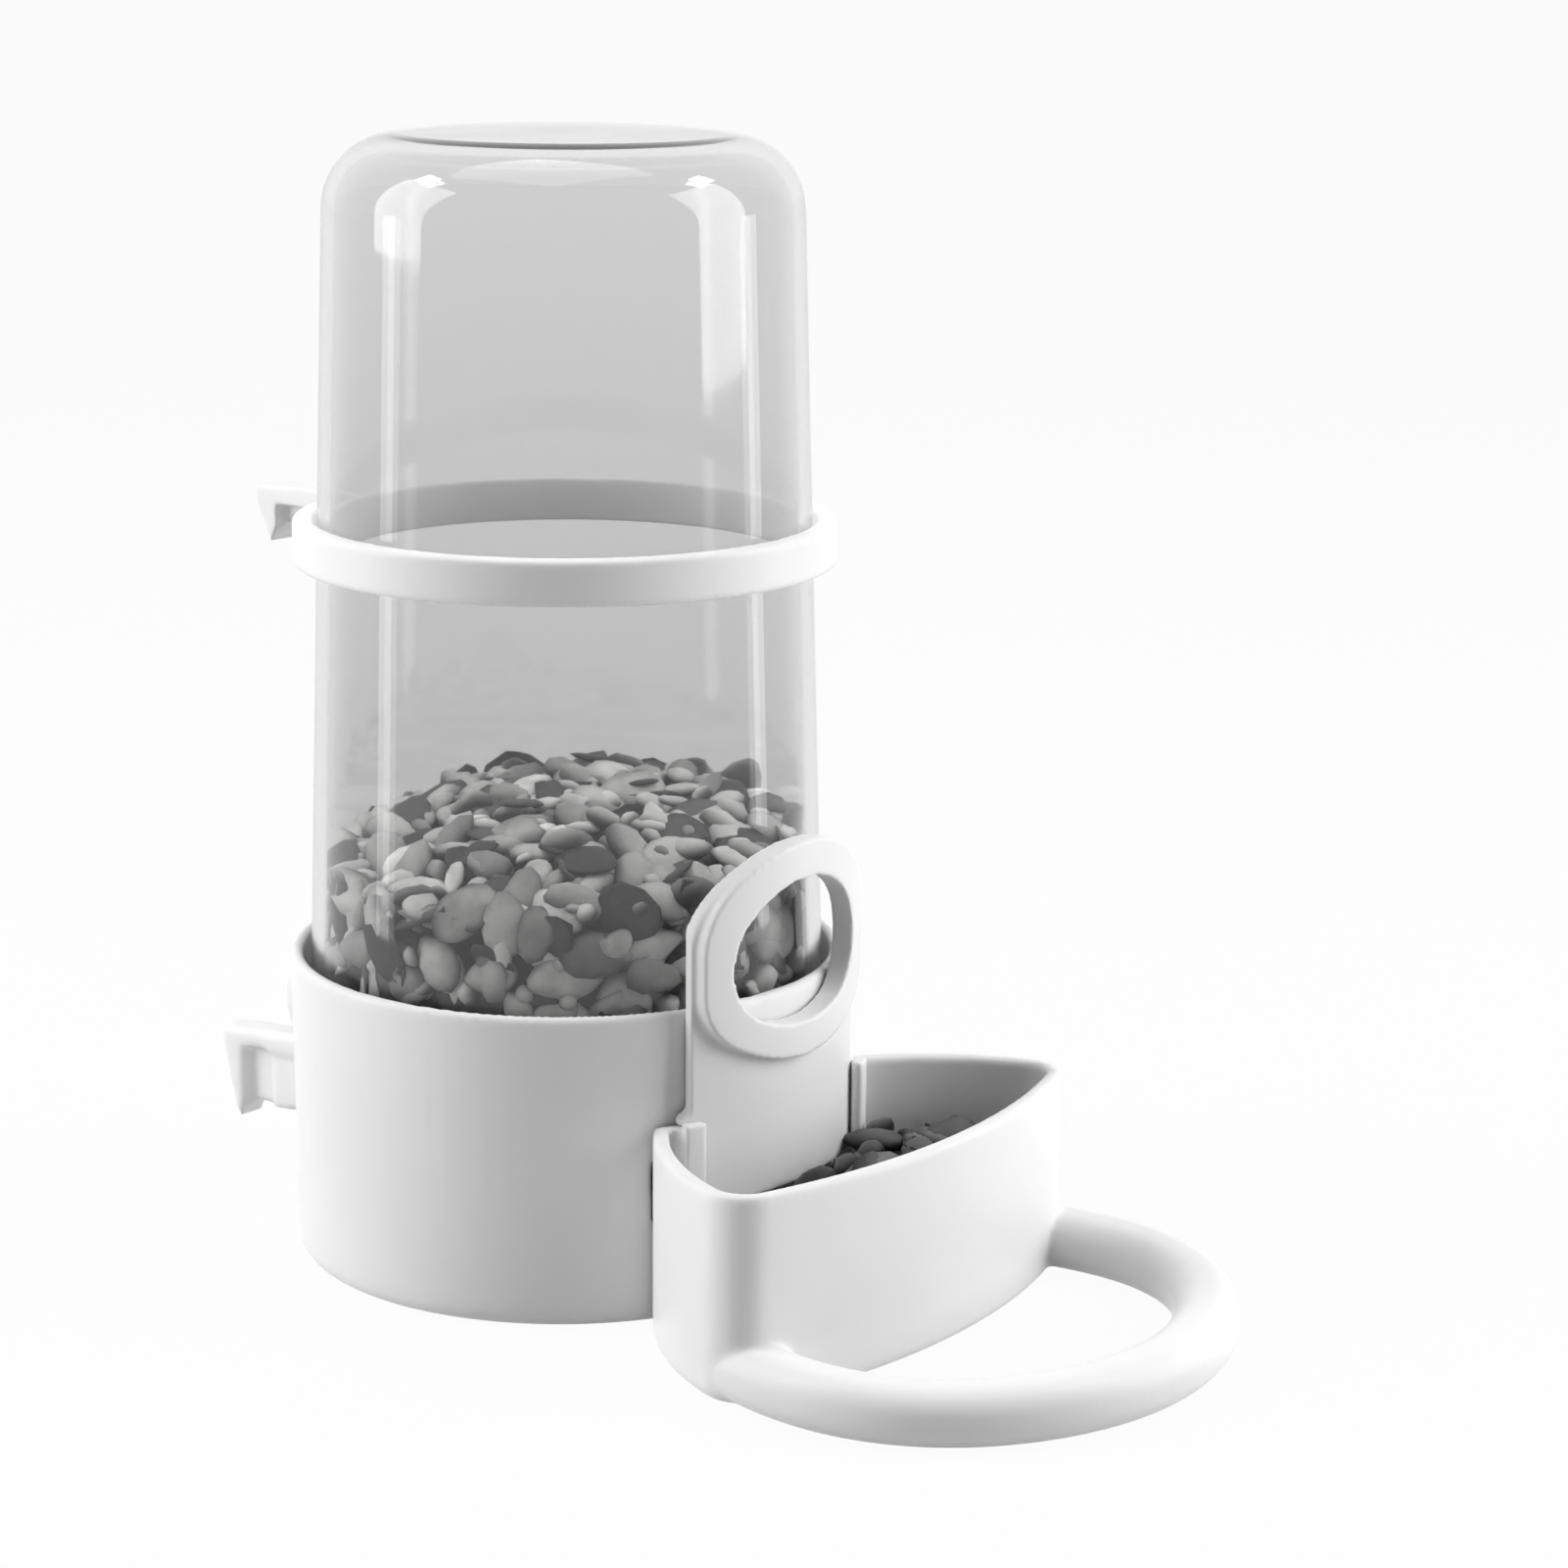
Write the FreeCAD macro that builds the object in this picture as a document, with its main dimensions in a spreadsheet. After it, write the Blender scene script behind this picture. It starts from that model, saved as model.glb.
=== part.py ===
import FreeCAD, Part
import math
import os
import re

import Sketcher

# Cage feeder: an upturned bottle in a cup, with a slide-up gate, a tray with a perch loop, and a ring.
# Millimetres. +Z is up, the bottle's axis is Z, the cup stands on z = 0, and the tray is towards -Y.
# Angles round the axis are measured from the front (-Y) towards +X.

SIZES = [
    ("CupRimRadius", 32.7, "outside of the cup at its rim"),
    ("CupTaper", 0.5, "how much narrower the cup is at its foot"),
    ("CupHeight", 36.9, "foot to rim"),
    ("CupWall", 1.5, "wall"),
    ("CupFloor", 1.6, "floor"),
    ("CupFootRound", 2.0, "round between floor and wall, outside"),
    ("CupRimRound", 0.6, "round on both edges of the rim"),
    ("RibCount", 8, "ribs inside the cup that carry and guide the bottle"),
    ("RibThickness", 1.3, "thickness of a rib"),
    ("RibBelowRim", 2.9, "rim to the top of the ribs' guiding part"),
    ("RibLead", 0.8, "slope at the top of a rib that leads the bottle in"),
    ("FeedFromRib", 1.94, "feed opening's side to the middle of the next rib"),
    ("FeedSill", 3.2, "lower edge of the feed opening"),
    ("FeedTop", 20.0, "upper edge of the feed opening"),
    ("FeedCorner", 3.0, "upper corners of the feed opening"),
    ("TabRadius", 9.9, "round tab on the back of the cup"),
    ("TabBelowRim", 11.0, "rim to the tab's centre"),
    ("TabProud", 5.0, "how far the tab stands out behind the rim"),
    ("TabRound", 0.5, "round on the tab's edge"),
    ("HookWidth", 4.4, "width of both cage hooks"),
    ("CupHookPast", 24.7, "cup's rim to the back of its hook"),
    ("RingHookPast", 17.9, "ring to the back of its hook"),
    ("HookLip", 4.4, "thickness of a hook's lip at its top"),
    ("HookPlate", 2.1, "thickness of a hook's top at its lip"),
    ("HookGap", 4.4, "gap between a hook's arm and its lip"),
    ("HookArmInset", 0.6, "how far the arm stands back from the hook's sides"),
    ("HookArmLess", 2.2, "how much less deep the arm is than the lip"),
    ("HookLean", 2.6, "how far the back of the lip leans in"),
    ("HookTip", 1.8, "height of the bevels at the lip's tip"),
    ("HookCorner", 1.6, "round on the lip's rear corners, in plan"),
    ("HookWeb", 1.0, "thickness of the web in the middle of a hook"),
    ("CupHookTop", 16.0, "top of the cup's hook"),
    ("CupHookDrop", 11.9, "top of the cup's hook to its tip"),
    ("CupHookRise", 2.2, "how far its top rises from lip to root"),
    ("RingHookDrop", 6.75, "top of the ring's hook to its tip"),
    ("RingHookRise", 0.6, "how far its top rises from lip to root"),
    ("BottleInCup", 0.7, "gap between the bottle's mouth and the cup's wall"),
    ("BottleTaper", 3.2, "how much narrower the bottle is at its shoulder"),
    ("BottleWall", 1.5, "wall"),
    ("BottleBelowRim", 9.9, "cup's rim to the mouth of the seated bottle"),
    ("BottleLength", 105.3, "mouth to the middle of the top"),
    ("BottleDome", 0.6, "rise of the top"),
    ("BottleCorner", 8.75, "round between side and top, outside"),
    ("BottleFit", 0.3, "gap between the bottle's mouth and the ribs"),
    ("RingPastMouth", 1.0, "how far the ring stands out past the bottle's mouth"),
    ("RingAboveMouth", 55.7, "bottle's mouth to the ring"),
    ("RingHeight", 5.2, "height of the ring"),
    ("RingFit", 0.15, "gap between ring and bottle at the ring's lower edge"),
    ("RingFlare", 0.45, "extra gap at the ring's upper edge"),
    ("RingRound", 0.5, "round on the ring's outer edges"),
    ("GateFit", 0.25, "gap between gate and cup rim"),
    ("GateThickness", 1.5, "thickness of the gate"),
    ("GateHalfAngle", 25.9, "half of the arc that the gate covers"),
    ("GateLow", 14.0, "lower edge of the gate"),
    ("GateTop", 54.7, "top of the gate's arch"),
    ("GateArch", 18.2, "radius of the arch"),
    ("GateShoulder", 10.3, "radius that turns the arch into the sides"),
    ("GateStopRise", 2.2, "height of the gate's two stops"),
    ("GateStopReach", 1.3, "how far the stops stand out sideways"),
    ("GateStopGap", 0.15, "gap between the stops and the tray's channels"),
    ("FrameProud", 1.35, "how far the raised frame stands out from the gate"),
    ("FrameInset", 0.5, "frame's side edge in from the gate's"),
    ("FrameLow", 29.5, "lowest place of the raised frame"),
    ("FrameArch", 21.6, "radius of the frame's lower edge"),
    ("FrameCorner", 7.3, "radius that turns the lower edge up"),
    ("WindowHalfWidth", 10.9, "half width of the window"),
    ("WindowLow", 33.6, "lower edge of the window"),
    ("WindowHigh", 50.4, "upper edge of the window"),
    ("WindowMiddle", 40.8, "height at which the window is widest"),
    ("WindowArchLow", 19.0, "radius of the window's lower edge"),
    ("WindowArchHigh", 12.0, "radius of the window's upper edge"),
    ("WindowFlank", 7.0, "half width of those two arches"),
    ("TrayFit", 0.2, "gap between tray and cup rim"),
    ("TrayPastCup", 0.4, "how far the tray stands out past the cup at each side"),
    ("TrayWideAhead", 25.9, "cup's rim to where tray and loop are widest"),
    ("TraySideArc", 38.5, "radius of the side walls, outside"),
    ("TrayDepth", 24.2, "cup's rim to the front wall, outside"),
    ("TrayFrontArc", 83.7, "radius of the front wall, outside"),
    ("TrayCorner", 5.0, "round between side and front walls, outside"),
    ("TrayHeight", 23.8, "foot to rim"),
    ("TrayWall", 1.8, "wall"),
    ("TrayFloor", 1.6, "floor"),
    ("TrayFootRound", 1.4, "round under the walls"),
    ("TrayRimRound", 0.6, "round on both edges of the rim"),
    ("TrayBack", 1.5, "thickness of the plates that stand against the cup"),
    ("ChannelFit", 0.25, "gap between the gate and a channel's lip"),
    ("ChannelSlack", 0.45, "gap between the gate's edge and a channel, in degrees"),
    ("ChannelWeb", 1.7, "width of a channel's web, in degrees"),
    ("ChannelLip", 2.2, "how far a lip covers the gate's edge, in degrees"),
    ("ChannelWall", 1.5, "thickness of a channel's lip"),
    ("ChannelRise", 0.6, "how far the lips rise over the tray's rim"),
    ("TrayHookAngle", 29.6, "place of the tray's two hooks, in degrees"),
    ("TrayHookWidth", 2.2, "width of a tray hook"),
    ("TrayHookLow", 8.0, "tip of a tray hook"),
    ("TrayHookSeat", 12.0, "underside of a tray hook's neck"),
    ("TrayHookHigh", 15.0, "top of a tray hook"),
    ("TrayHookLip", 1.4, "thickness of a tray hook's lip"),
    ("TrayHookFit", 0.35, "gap round a tray hook"),
    ("TrayLift", 4.5, "lift that frees the tray's hooks"),
    ("LoopWidth", 7.5, "width of the perch loop"),
    ("LoopHeight", 6.7, "height of the perch loop"),
    ("LoopRound", 3.0, "round on the loop's edges"),
    ("LoopTipPast", 2.05, "how far the loop's front is past a round of its sides' radius"),
    ("LoopArcLess", 5.6, "how much less the loop's side radius is than the tray's half width"),
    ("LoopInset", 0.15, "loop's side in from the tray's side wall"),
    ("LoopRootAngle", 17.0, "length of the loop beside the tray, in degrees"),
    ("SeedGap", 0.35, "gap between the seed and the walls round it"),
    ("SeedHighUp", 39.3, "bottle's mouth to the seed, on its high side"),
    ("SeedLowUp", 30.0, "bottle's mouth to the seed, on its low side"),
    ("SeedLean", -52.5, "turn of the seed's slope, in degrees"),
    ("HeapHigh", 17.0, "top of the seed in the tray"),
    ("HeapRadius", 60.0, "radius of the seed's rounded top in the tray"),
    ("HeapAside", 14.0, "top of the heap to the side of the middle"),
    ("HeapFromCup", 11.3, "cup's rim to the top of the heap"),
]

# Sizes that follow others.
FOLLOWERS = [
    ("CupFootRadius", "CupRimRadius - CupTaper",
     "outside of the cup at its foot"),
    ("RibTop", "CupHeight - RibBelowRim",
     "height of the ribs' guiding part"),
    ("FeedHalfWidth", "(CupRimRadius - CupWall) * sin(180 / RibCount) - FeedFromRib",
     "half width of the feed opening"),
    ("TabHeight", "CupHeight - TabBelowRim",
     "centre of the tab"),
    ("CupHookReach", "CupRimRadius + CupHookPast",
     "bottle axis to the back of the cup's hook"),
    ("BottleMouthRadius", "CupRimRadius - CupWall - BottleInCup",
     "outside of the bottle at its mouth"),
    ("BottleShoulderRadius", "BottleMouthRadius - BottleTaper",
     "outside of the bottle at its shoulder"),
    ("BottleMouth", "CupHeight - BottleBelowRim",
     "height of the mouth when the bottle is seated"),
    ("RingRadius", "BottleMouthRadius + RingPastMouth",
     "outside of the ring"),
    ("RingLow", "BottleMouth + RingAboveMouth",
     "lower edge of the ring"),
    ("RingHookReach", "RingRadius + RingHookPast",
     "bottle axis to the back of the ring's hook"),
    ("TrayHalfWidth", "CupRimRadius + TrayPastCup",
     "half of the tray's greatest width"),
    ("TrayWideAt", "CupRimRadius + TrayWideAhead",
     "bottle axis to where tray and loop are widest"),
    ("TrayFrontAt", "CupRimRadius + TrayDepth",
     "bottle axis to the front wall, outside"),
    ("LoopSideArc", "TrayHalfWidth - LoopArcLess",
     "radius of the loop's sides, outside"),
    ("LoopReach", "LoopSideArc + LoopTipPast",
     "widest place to the loop's front"),
    ("SeedHigh", "BottleMouth + SeedHighUp",
     "seed in the bottle, on its high side"),
    ("SeedLow", "BottleMouth + SeedLowUp",
     "seed in the bottle, on its low side"),
    ("HeapAhead", "CupRimRadius + HeapFromCup",
     "bottle axis to the top of the heap"),
]

doc = FreeCAD.newDocument("cage_feeder")
sheet = doc.addObject("Spreadsheet::Sheet", "Size")
for row, (alias, amount, note) in enumerate(SIZES + FOLLOWERS, start=1):
    sheet.set(f"A{row}", alias)
    sheet.set(f"B{row}", f"={amount}")
    sheet.set(f"C{row}", note)
    sheet.setAlias(f"B{row}", alias)
doc.recompute()


def bound(text):
    """The text as an expression on the sheet: every word with a capital is a size."""
    return re.sub(r"\b([A-Z]\w+)", r"Size.\1", text)


def number(text):
    return float(sheet.evalExpression(bound(text)))


# Sketches

def origin_part(body, role):
    return next(part for part in body.Origin.OriginFeatures if part.Role == role)


def new_sketch(body, name, role, lift="0", turn="0"):
    """A sketch on one of the body's own planes, moved along its normal and turned about Z."""
    sketch = body.newObject("Sketcher::SketchObject", name)
    sketch.AttachmentSupport = [(origin_part(body, role), "")]
    sketch.MapMode = "FlatFace"
    upright = FreeCAD.Vector(0, 0, 1) if role == "XY_Plane" else FreeCAD.Vector(0, 1, 0)
    turned = FreeCAD.Rotation(upright, number(turn) or 1e-9)
    sketch.AttachmentOffset = FreeCAD.Placement(FreeCAD.Vector(), turned)
    sketch.setExpression("AttachmentOffset.Base.z", bound(lift))
    if turn != "0":
        sketch.setExpression("AttachmentOffset.Rotation.Angle", bound(turn))
    return sketch


def free_sketch(name, upright):
    """A sketch that no body owns, flat on z = 0 or upright in the plane y = 0."""
    sketch = doc.addObject("Sketcher::SketchObject", name)
    if upright:
        sketch.Placement.Rotation = FreeCAD.Rotation(FreeCAD.Vector(1, 0, 0), 90)
    return sketch


def pin_point(sketch, edge, end, x, y):
    """Ties a point of an edge to the sheet: on an axis where its place is 0."""
    for kind, axis, text in (("DistanceX", -2, x), ("DistanceY", -1, y)):
        if text == "0":
            sketch.addConstraint(Sketcher.Constraint("PointOnObject", edge, end, axis))
        else:
            tie = sketch.addConstraint(Sketcher.Constraint(kind, -1, 1, edge, end, number(text)))
            sketch.setExpression(f"Constraints[{tie}]", bound(text))


def pin_radius(sketch, edge, text):
    tie = sketch.addConstraint(Sketcher.Constraint("Radius", edge, number(text)))
    sketch.setExpression(f"Constraints[{tie}]", bound(text))


def arc_between(centre, radius, here, there):
    """The short arc of a circle between two points, and which of its ends is at the first."""
    angles = [math.atan2(p.y - centre.y, p.x - centre.x) for p in (here, there)]
    forwards = (angles[1] - angles[0]) % (2 * math.pi) < math.pi
    first, last = angles if forwards else angles[::-1]
    circle = Part.Circle(centre, FreeCAD.Vector(0, 0, 1), radius)
    if last < first:
        last += 2 * math.pi
    return Part.ArcOfCircle(circle, first, last), (1, 2) if forwards else (2, 1)


def bend_centre(here, there, radius):
    """Centre of the arc that leaves here for there, on its left if the radius is positive."""
    along = there - here
    half = along.Length / 2
    rise = math.sqrt(max(radius * radius - half * half, 0.0))
    left = FreeCAD.Vector(-along.y, along.x, 0).normalize()
    return (here + there) * 0.5 + left * math.copysign(rise, radius)


def outline(sketch, corners):
    """A closed outline through corners (x, y) or (x, y, radius), all texts. A radius bends the edge
    that leaves its corner, with the centre on the left, or on the right after a minus sign."""
    spots = [FreeCAD.Vector(number(c[0]), number(c[1]), 0) for c in corners]
    start = sketch.GeometryCount
    ends = []
    for place, corner in enumerate(corners):
        here, there = spots[place], spots[(place + 1) % len(spots)]
        if len(corner) == 2:
            edge, order = Part.LineSegment(here, there), (1, 2)
        else:
            right = corner[2].startswith("-")
            radius = number(corner[2].lstrip("-"))
            centre = bend_centre(here, there, -radius if right else radius)
            edge, order = arc_between(centre, radius, here, there)
        sketch.addGeometry(edge)
        ends.append(order)
    for place, corner in enumerate(corners):
        after = (place + 1) % len(corners)
        sketch.addConstraint(Sketcher.Constraint(
            "Coincident", start + place, ends[place][1], start + after, ends[after][0]))
        pin_point(sketch, start + place, ends[place][0], corner[0], corner[1])
        if len(corner) == 3:
            pin_radius(sketch, start + place, corner[2].lstrip("-"))
    return sketch


def disc(sketch, x, y, radius):
    centre = FreeCAD.Vector(number(x), number(y), 0)
    sketch.addGeometry(Part.Circle(centre, FreeCAD.Vector(0, 0, 1), number(radius)))
    edge = sketch.GeometryCount - 1
    pin_point(sketch, edge, 3, x, y)
    pin_radius(sketch, edge, radius)
    return sketch


def both_sides(half):
    """A whole outline from its right half, which runs upwards from the middle line to the middle line."""
    whole = list(half)
    for place in range(len(half) - 1, 0, -1):
        x, y = half[place][:2]
        bend = half[place - 1][2:]
        if x != "0" or place < len(half) - 1:
            whole.append((f"-({x})" if x != "0" else "0", y) + bend)
        else:
            whole[-1] = (x, y) + bend
    return whole


def polar(radius, angle):
    return f"({radius}) * sin({angle})", f"-({radius}) * cos({angle})"


def sector(sketch, inner, outer, low, high):
    """A stretch of ring about the bottle's axis, between two angles."""
    return outline(sketch, [
        polar(inner, low) + (inner,),
        polar(inner, high),
        polar(outer, high) + ("-" + outer,),
        polar(outer, low),
    ])


def circle_crossing(centre, radius, other, reach):
    """Where two circles cross, on the side of +X."""
    gap = other - centre
    span = gap.Length
    along = (radius ** 2 - reach ** 2 + span ** 2) / (2 * span)
    off = math.sqrt(radius ** 2 - along ** 2)
    unit = gap / span
    foot = centre + unit * along
    aside = FreeCAD.Vector(-unit.y, unit.x, 0) * off
    return max((foot + aside, foot - aside), key=lambda spot: spot.x)


def tray_plan(sketch, inset, back):
    """The tray's plan, drawn in from its outside: two side arcs, the front arc and the arc at the cup."""
    side, front = f"TraySideArc - {inset}", f"TrayFrontArc - {inset}"
    circles = [
        ("TrayHalfWidth - TraySideArc", "-TrayWideAt", side),
        ("0", "TrayFrontArc - TrayFrontAt", front),
        ("TraySideArc - TrayHalfWidth", "-TrayWideAt", side),
        ("0", "0", back),
    ]
    solved = [(FreeCAD.Vector(number(x), number(y), 0), number(r)) for x, y, r in circles]
    ahead = circle_crossing(*solved[0], *solved[1])
    behind = circle_crossing(*solved[0], *solved[3])
    other_ahead, other_behind = (FreeCAD.Vector(-p.x, p.y, 0) for p in (ahead, behind))
    runs = [(behind, ahead), (ahead, other_ahead), (other_ahead, other_behind), (other_behind, behind)]
    ends = []
    for (centre, radius), (here, there) in zip(solved, runs):
        edge, order = arc_between(centre, radius, here, there)
        sketch.addGeometry(edge)
        ends.append(order)
    for place, (x, y, radius) in enumerate(circles):
        after = (place + 1) % len(circles)
        sketch.addConstraint(Sketcher.Constraint("Coincident", place, ends[place][1], after, ends[after][0]))
        if (x, y) == ("0", "0"):
            sketch.addConstraint(Sketcher.Constraint("Coincident", place, 3, -1, 1))
        else:
            pin_point(sketch, place, 3, x, y)
        pin_radius(sketch, place, radius)
    return sketch


# Features

def new_body(name):
    return doc.addObject("PartDesign::Body", name)


def volume(body):
    return body.Shape.Volume if body.Tip and not body.Shape.isNull() else 0.0


def grown(body, feature, adds):
    """Recomputes and stops if the feature did nothing or went the wrong way."""
    before = volume(body)
    doc.recompute()
    change = volume(body) - before
    if (change <= 0.01) if adds else (change >= -0.01):
        raise ValueError(f"{feature.Label} changed the volume by {change:.3f}")
    return feature


def extrude(body, kind, name, sketch, length, back=False, both=False):
    feature = body.newObject(f"PartDesign::{kind}", name)
    feature.Profile = sketch
    feature.SideType = "Symmetric" if both else "One side"
    feature.Reversed = back
    feature.setExpression("Length", bound(length))
    return grown(body, feature, kind == "Pad")


def turn_about(body, kind, name, sketch, axis=None, angle="360", back=False, both=False):
    feature = body.newObject(f"PartDesign::{kind}", name)
    feature.Profile = sketch
    feature.ReferenceAxis = axis or (sketch, ["V_Axis"])
    feature.Midplane = both
    feature.Reversed = back
    feature.setExpression("Angle", bound(angle))
    return grown(body, feature, kind == "Revolution")


def repeat_round(body, name, feature, count, adds=True):
    pattern = body.newObject("PartDesign::PolarPattern", name)
    pattern.Originals = [feature]
    pattern.Axis = (origin_part(body, "Z_Axis"), [""])
    pattern.Angle = 360
    pattern.setExpression("Occurrences", bound(count))
    body.Tip = pattern
    return grown(body, pattern, adds)


def mirror_across(body, name, features, adds=True):
    pattern = body.newObject("PartDesign::Mirrored", name)
    pattern.Originals = features
    pattern.MirrorPlane = (origin_part(body, "YZ_Plane"), [""])
    body.Tip = pattern
    return grown(body, pattern, adds)


def round_edges(body, name, radius, wanted):
    """Rounds the edges that the test picks."""
    tip = body.Tip
    picks = [f"Edge{n}" for n, edge in enumerate(tip.Shape.Edges, start=1) if wanted(edge)]
    if not picks:
        raise ValueError(f"{name} found no edges")
    feature = body.newObject("PartDesign::Fillet", name)
    feature.Base = (tip, picks)
    feature.setExpression("Radius", bound(radius))
    doc.recompute()
    return feature


def at_height(edge, height):
    box = edge.BoundBox
    return abs(box.ZMin - height) < 1e-4 and abs(box.ZMax - height) < 1e-4


def is_circle(edge, radius=None):
    if edge.Degenerated or not isinstance(edge.Curve, Part.Circle):
        return False
    return radius is None or abs(edge.Curve.Radius - radius) < 1e-4


# Shared forms

def cup_radius_at(height):
    return f"(CupFootRadius + (CupRimRadius - CupFootRadius) * ({height}) / CupHeight)"


BOTTLE_SHOULDER = "BottleMouth + BottleLength - BottleDome"


def bottle_radius_at(height):
    taper = f"(BottleMouthRadius - BottleShoulderRadius) / ({BOTTLE_SHOULDER} - BottleMouth)"
    return f"(BottleMouthRadius - (({height}) - BottleMouth) * {taper})"


def add_cage_hook(body, reach, top, drop, rise, root, root_low):
    """A hook for the cage's wires: a top plate with a pointed lip, an arm under it and a web between."""
    tip, foot = f"({top} - {drop})", f"({top} - {drop} + HookArmLess)"
    lip, gap = f"({reach} - HookLip)", f"({reach} - HookLip - HookGap)"
    under = f"({top} - HookPlate)"
    side = outline(new_sketch(body, body.Name + "_hook_side", "YZ_Plane"), [
        (root, f"{top} + {rise}"),
        (reach, top),
        (f"{reach} - HookLean", f"{tip} + HookTip"),
        (f"{reach} - (HookLean + HookLip) / 2", tip),
        (lip, f"{tip} + HookTip"),
        (lip, under),
        (root, f"{under} + {rise} / 2"),
    ])
    extrude(body, "Pad", body.Name + "_hook", side, "HookWidth", both=True)
    arm = outline(new_sketch(body, body.Name + "_hook_arm_side", "YZ_Plane"), [
        (root, f"{under} + {rise}"),
        (gap, f"{under} + HookPlate / 2"),
        (gap, foot),
        (root, root_low),
    ])
    extrude(body, "Pad", body.Name + "_hook_arm", arm, "HookWidth - 2 * HookArmInset", both=True)
    web = outline(new_sketch(body, body.Name + "_hook_web_side", "YZ_Plane"), [
        (f"{gap} - HookWeb", f"{under} + HookPlate / 2"),
        (f"{lip} + HookTip / 4", f"{under} + HookPlate / 2"),
        (f"{lip} + HookTip / 4", foot),
        (f"{gap} - HookWeb", foot),
    ])
    extrude(body, "Pad", body.Name + "_hook_web", web, "HookWeb", both=True)
    corner = outline(new_sketch(body, body.Name + "_hook_corner", "XY_Plane"), [
        ("HookWidth / 2", f"{reach} - HookCorner", "HookCorner"),
        ("HookWidth / 2 - HookCorner", reach),
        ("HookWidth / 2 - HookCorner", f"{reach} + HookWeb"),
        ("HookWidth / 2 + HookWeb", f"{reach} + HookWeb"),
        ("HookWidth / 2 + HookWeb", f"{reach} - HookCorner"),
    ])
    trim = extrude(body, "Pocket", body.Name + "_hook_trim", corner, f"{top} + HookPlate", back=True)
    mirror_across(body, body.Name + "_hook_trims", [trim], adds=False)


# The cup

def make_cup():
    body = new_body("base_cup")
    outside = outline(new_sketch(body, "cup_outside", "XZ_Plane"), [
        ("0", "0"),
        ("CupFootRadius - CupFootRound", "0", "CupFootRound"),
        ("CupFootRadius", "CupFootRound"),
        ("CupRimRadius", "CupHeight"),
        ("0", "CupHeight"),
    ])
    turn_about(body, "Revolution", "cup_form", outside)

    tab = disc(new_sketch(body, "cup_tab_face", "XZ_Plane"), "0", "TabHeight", "TabRadius")
    extrude(body, "Pad", "cup_tab", tab, "CupRimRadius + TabProud", back=True)
    face = number("CupRimRadius + TabProud")
    round_edges(body, "cup_tab_edge", "TabRound",
                lambda edge: is_circle(edge) and edge.BoundBox.YMin > face - 0.01)
    add_cage_hook(body, "CupHookReach", "CupHookTop", "CupHookDrop", "CupHookRise",
                  "CupFootRadius - 2 * CupWall", "CupHookTop - CupHookDrop + HookArmLess + CupHookRise")

    inside = outline(new_sketch(body, "cup_inside", "XZ_Plane"), [
        ("0", "CupFloor"),
        ("CupFootRadius - CupWall - CupFootRound / 2", "CupFloor", "CupFootRound / 2"),
        ("CupFootRadius - CupWall", "CupFloor + CupFootRound / 2"),
        ("CupRimRadius - CupWall", "CupHeight"),
        ("CupRimRadius - CupWall", "CupHeight + CupWall"),
        ("0", "CupHeight + CupWall"),
    ])
    turn_about(body, "Groove", "cup_hollow", inside)
    rim = number("CupHeight")
    round_edges(body, "cup_rim", "CupRimRound", lambda edge: is_circle(edge) and at_height(edge, rim))

    rib = outline(new_sketch(body, "cup_rib_side", "XZ_Plane", turn="180 / RibCount"), [
        ("BottleMouthRadius - BottleWall - BottleFit", "CupFloor / 2"),
        ("CupFootRadius - CupWall / 2", "CupFloor / 2"),
        ("CupRimRadius - CupWall / 2", "RibTop"),
        (f"{cup_radius_at('RibTop')} - CupWall", "RibTop"),
        ("BottleMouthRadius + BottleFit", "RibTop - RibLead"),
        ("BottleMouthRadius + BottleFit", "BottleMouth"),
        ("BottleMouthRadius - BottleWall - BottleFit", "BottleMouth"),
    ])
    first = extrude(body, "Pad", "cup_rib", rib, "RibThickness", both=True)
    repeat_round(body, "cup_ribs", first, "RibCount")

    feed = outline(new_sketch(body, "cup_feed_face", "XZ_Plane"), [
        ("-FeedHalfWidth", "FeedSill"),
        ("FeedHalfWidth", "FeedSill"),
        ("FeedHalfWidth", "FeedTop - FeedCorner", "FeedCorner"),
        ("FeedHalfWidth - FeedCorner", "FeedTop"),
        ("FeedCorner - FeedHalfWidth", "FeedTop", "FeedCorner"),
        ("-FeedHalfWidth", "FeedTop - FeedCorner"),
    ])
    extrude(body, "Pocket", "cup_feed", feed, "CupRimRadius + TabProud", back=True)

    half = "(TrayHookWidth / 2 + TrayHookFit)"
    plan = new_sketch(body, "cup_slot_plan", "XY_Plane", "TrayHookSeat - GateStopGap", "TrayHookAngle")
    slot = outline(plan, [
        (f"-{half}", "-CupRimRadius - CupWall"),
        (half, "-CupRimRadius - CupWall"),
        (half, "CupWall * 2 - CupRimRadius"),
        (f"-{half}", "CupWall * 2 - CupRimRadius"),
    ])
    tall = "TrayHookHigh + TrayLift + TrayHookFit - TrayHookSeat + GateStopGap"
    first = extrude(body, "Pocket", "cup_slot", slot, tall, back=True)
    mirror_across(body, "cup_slots", [first], adds=False)
    return body


# The bottle

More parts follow.
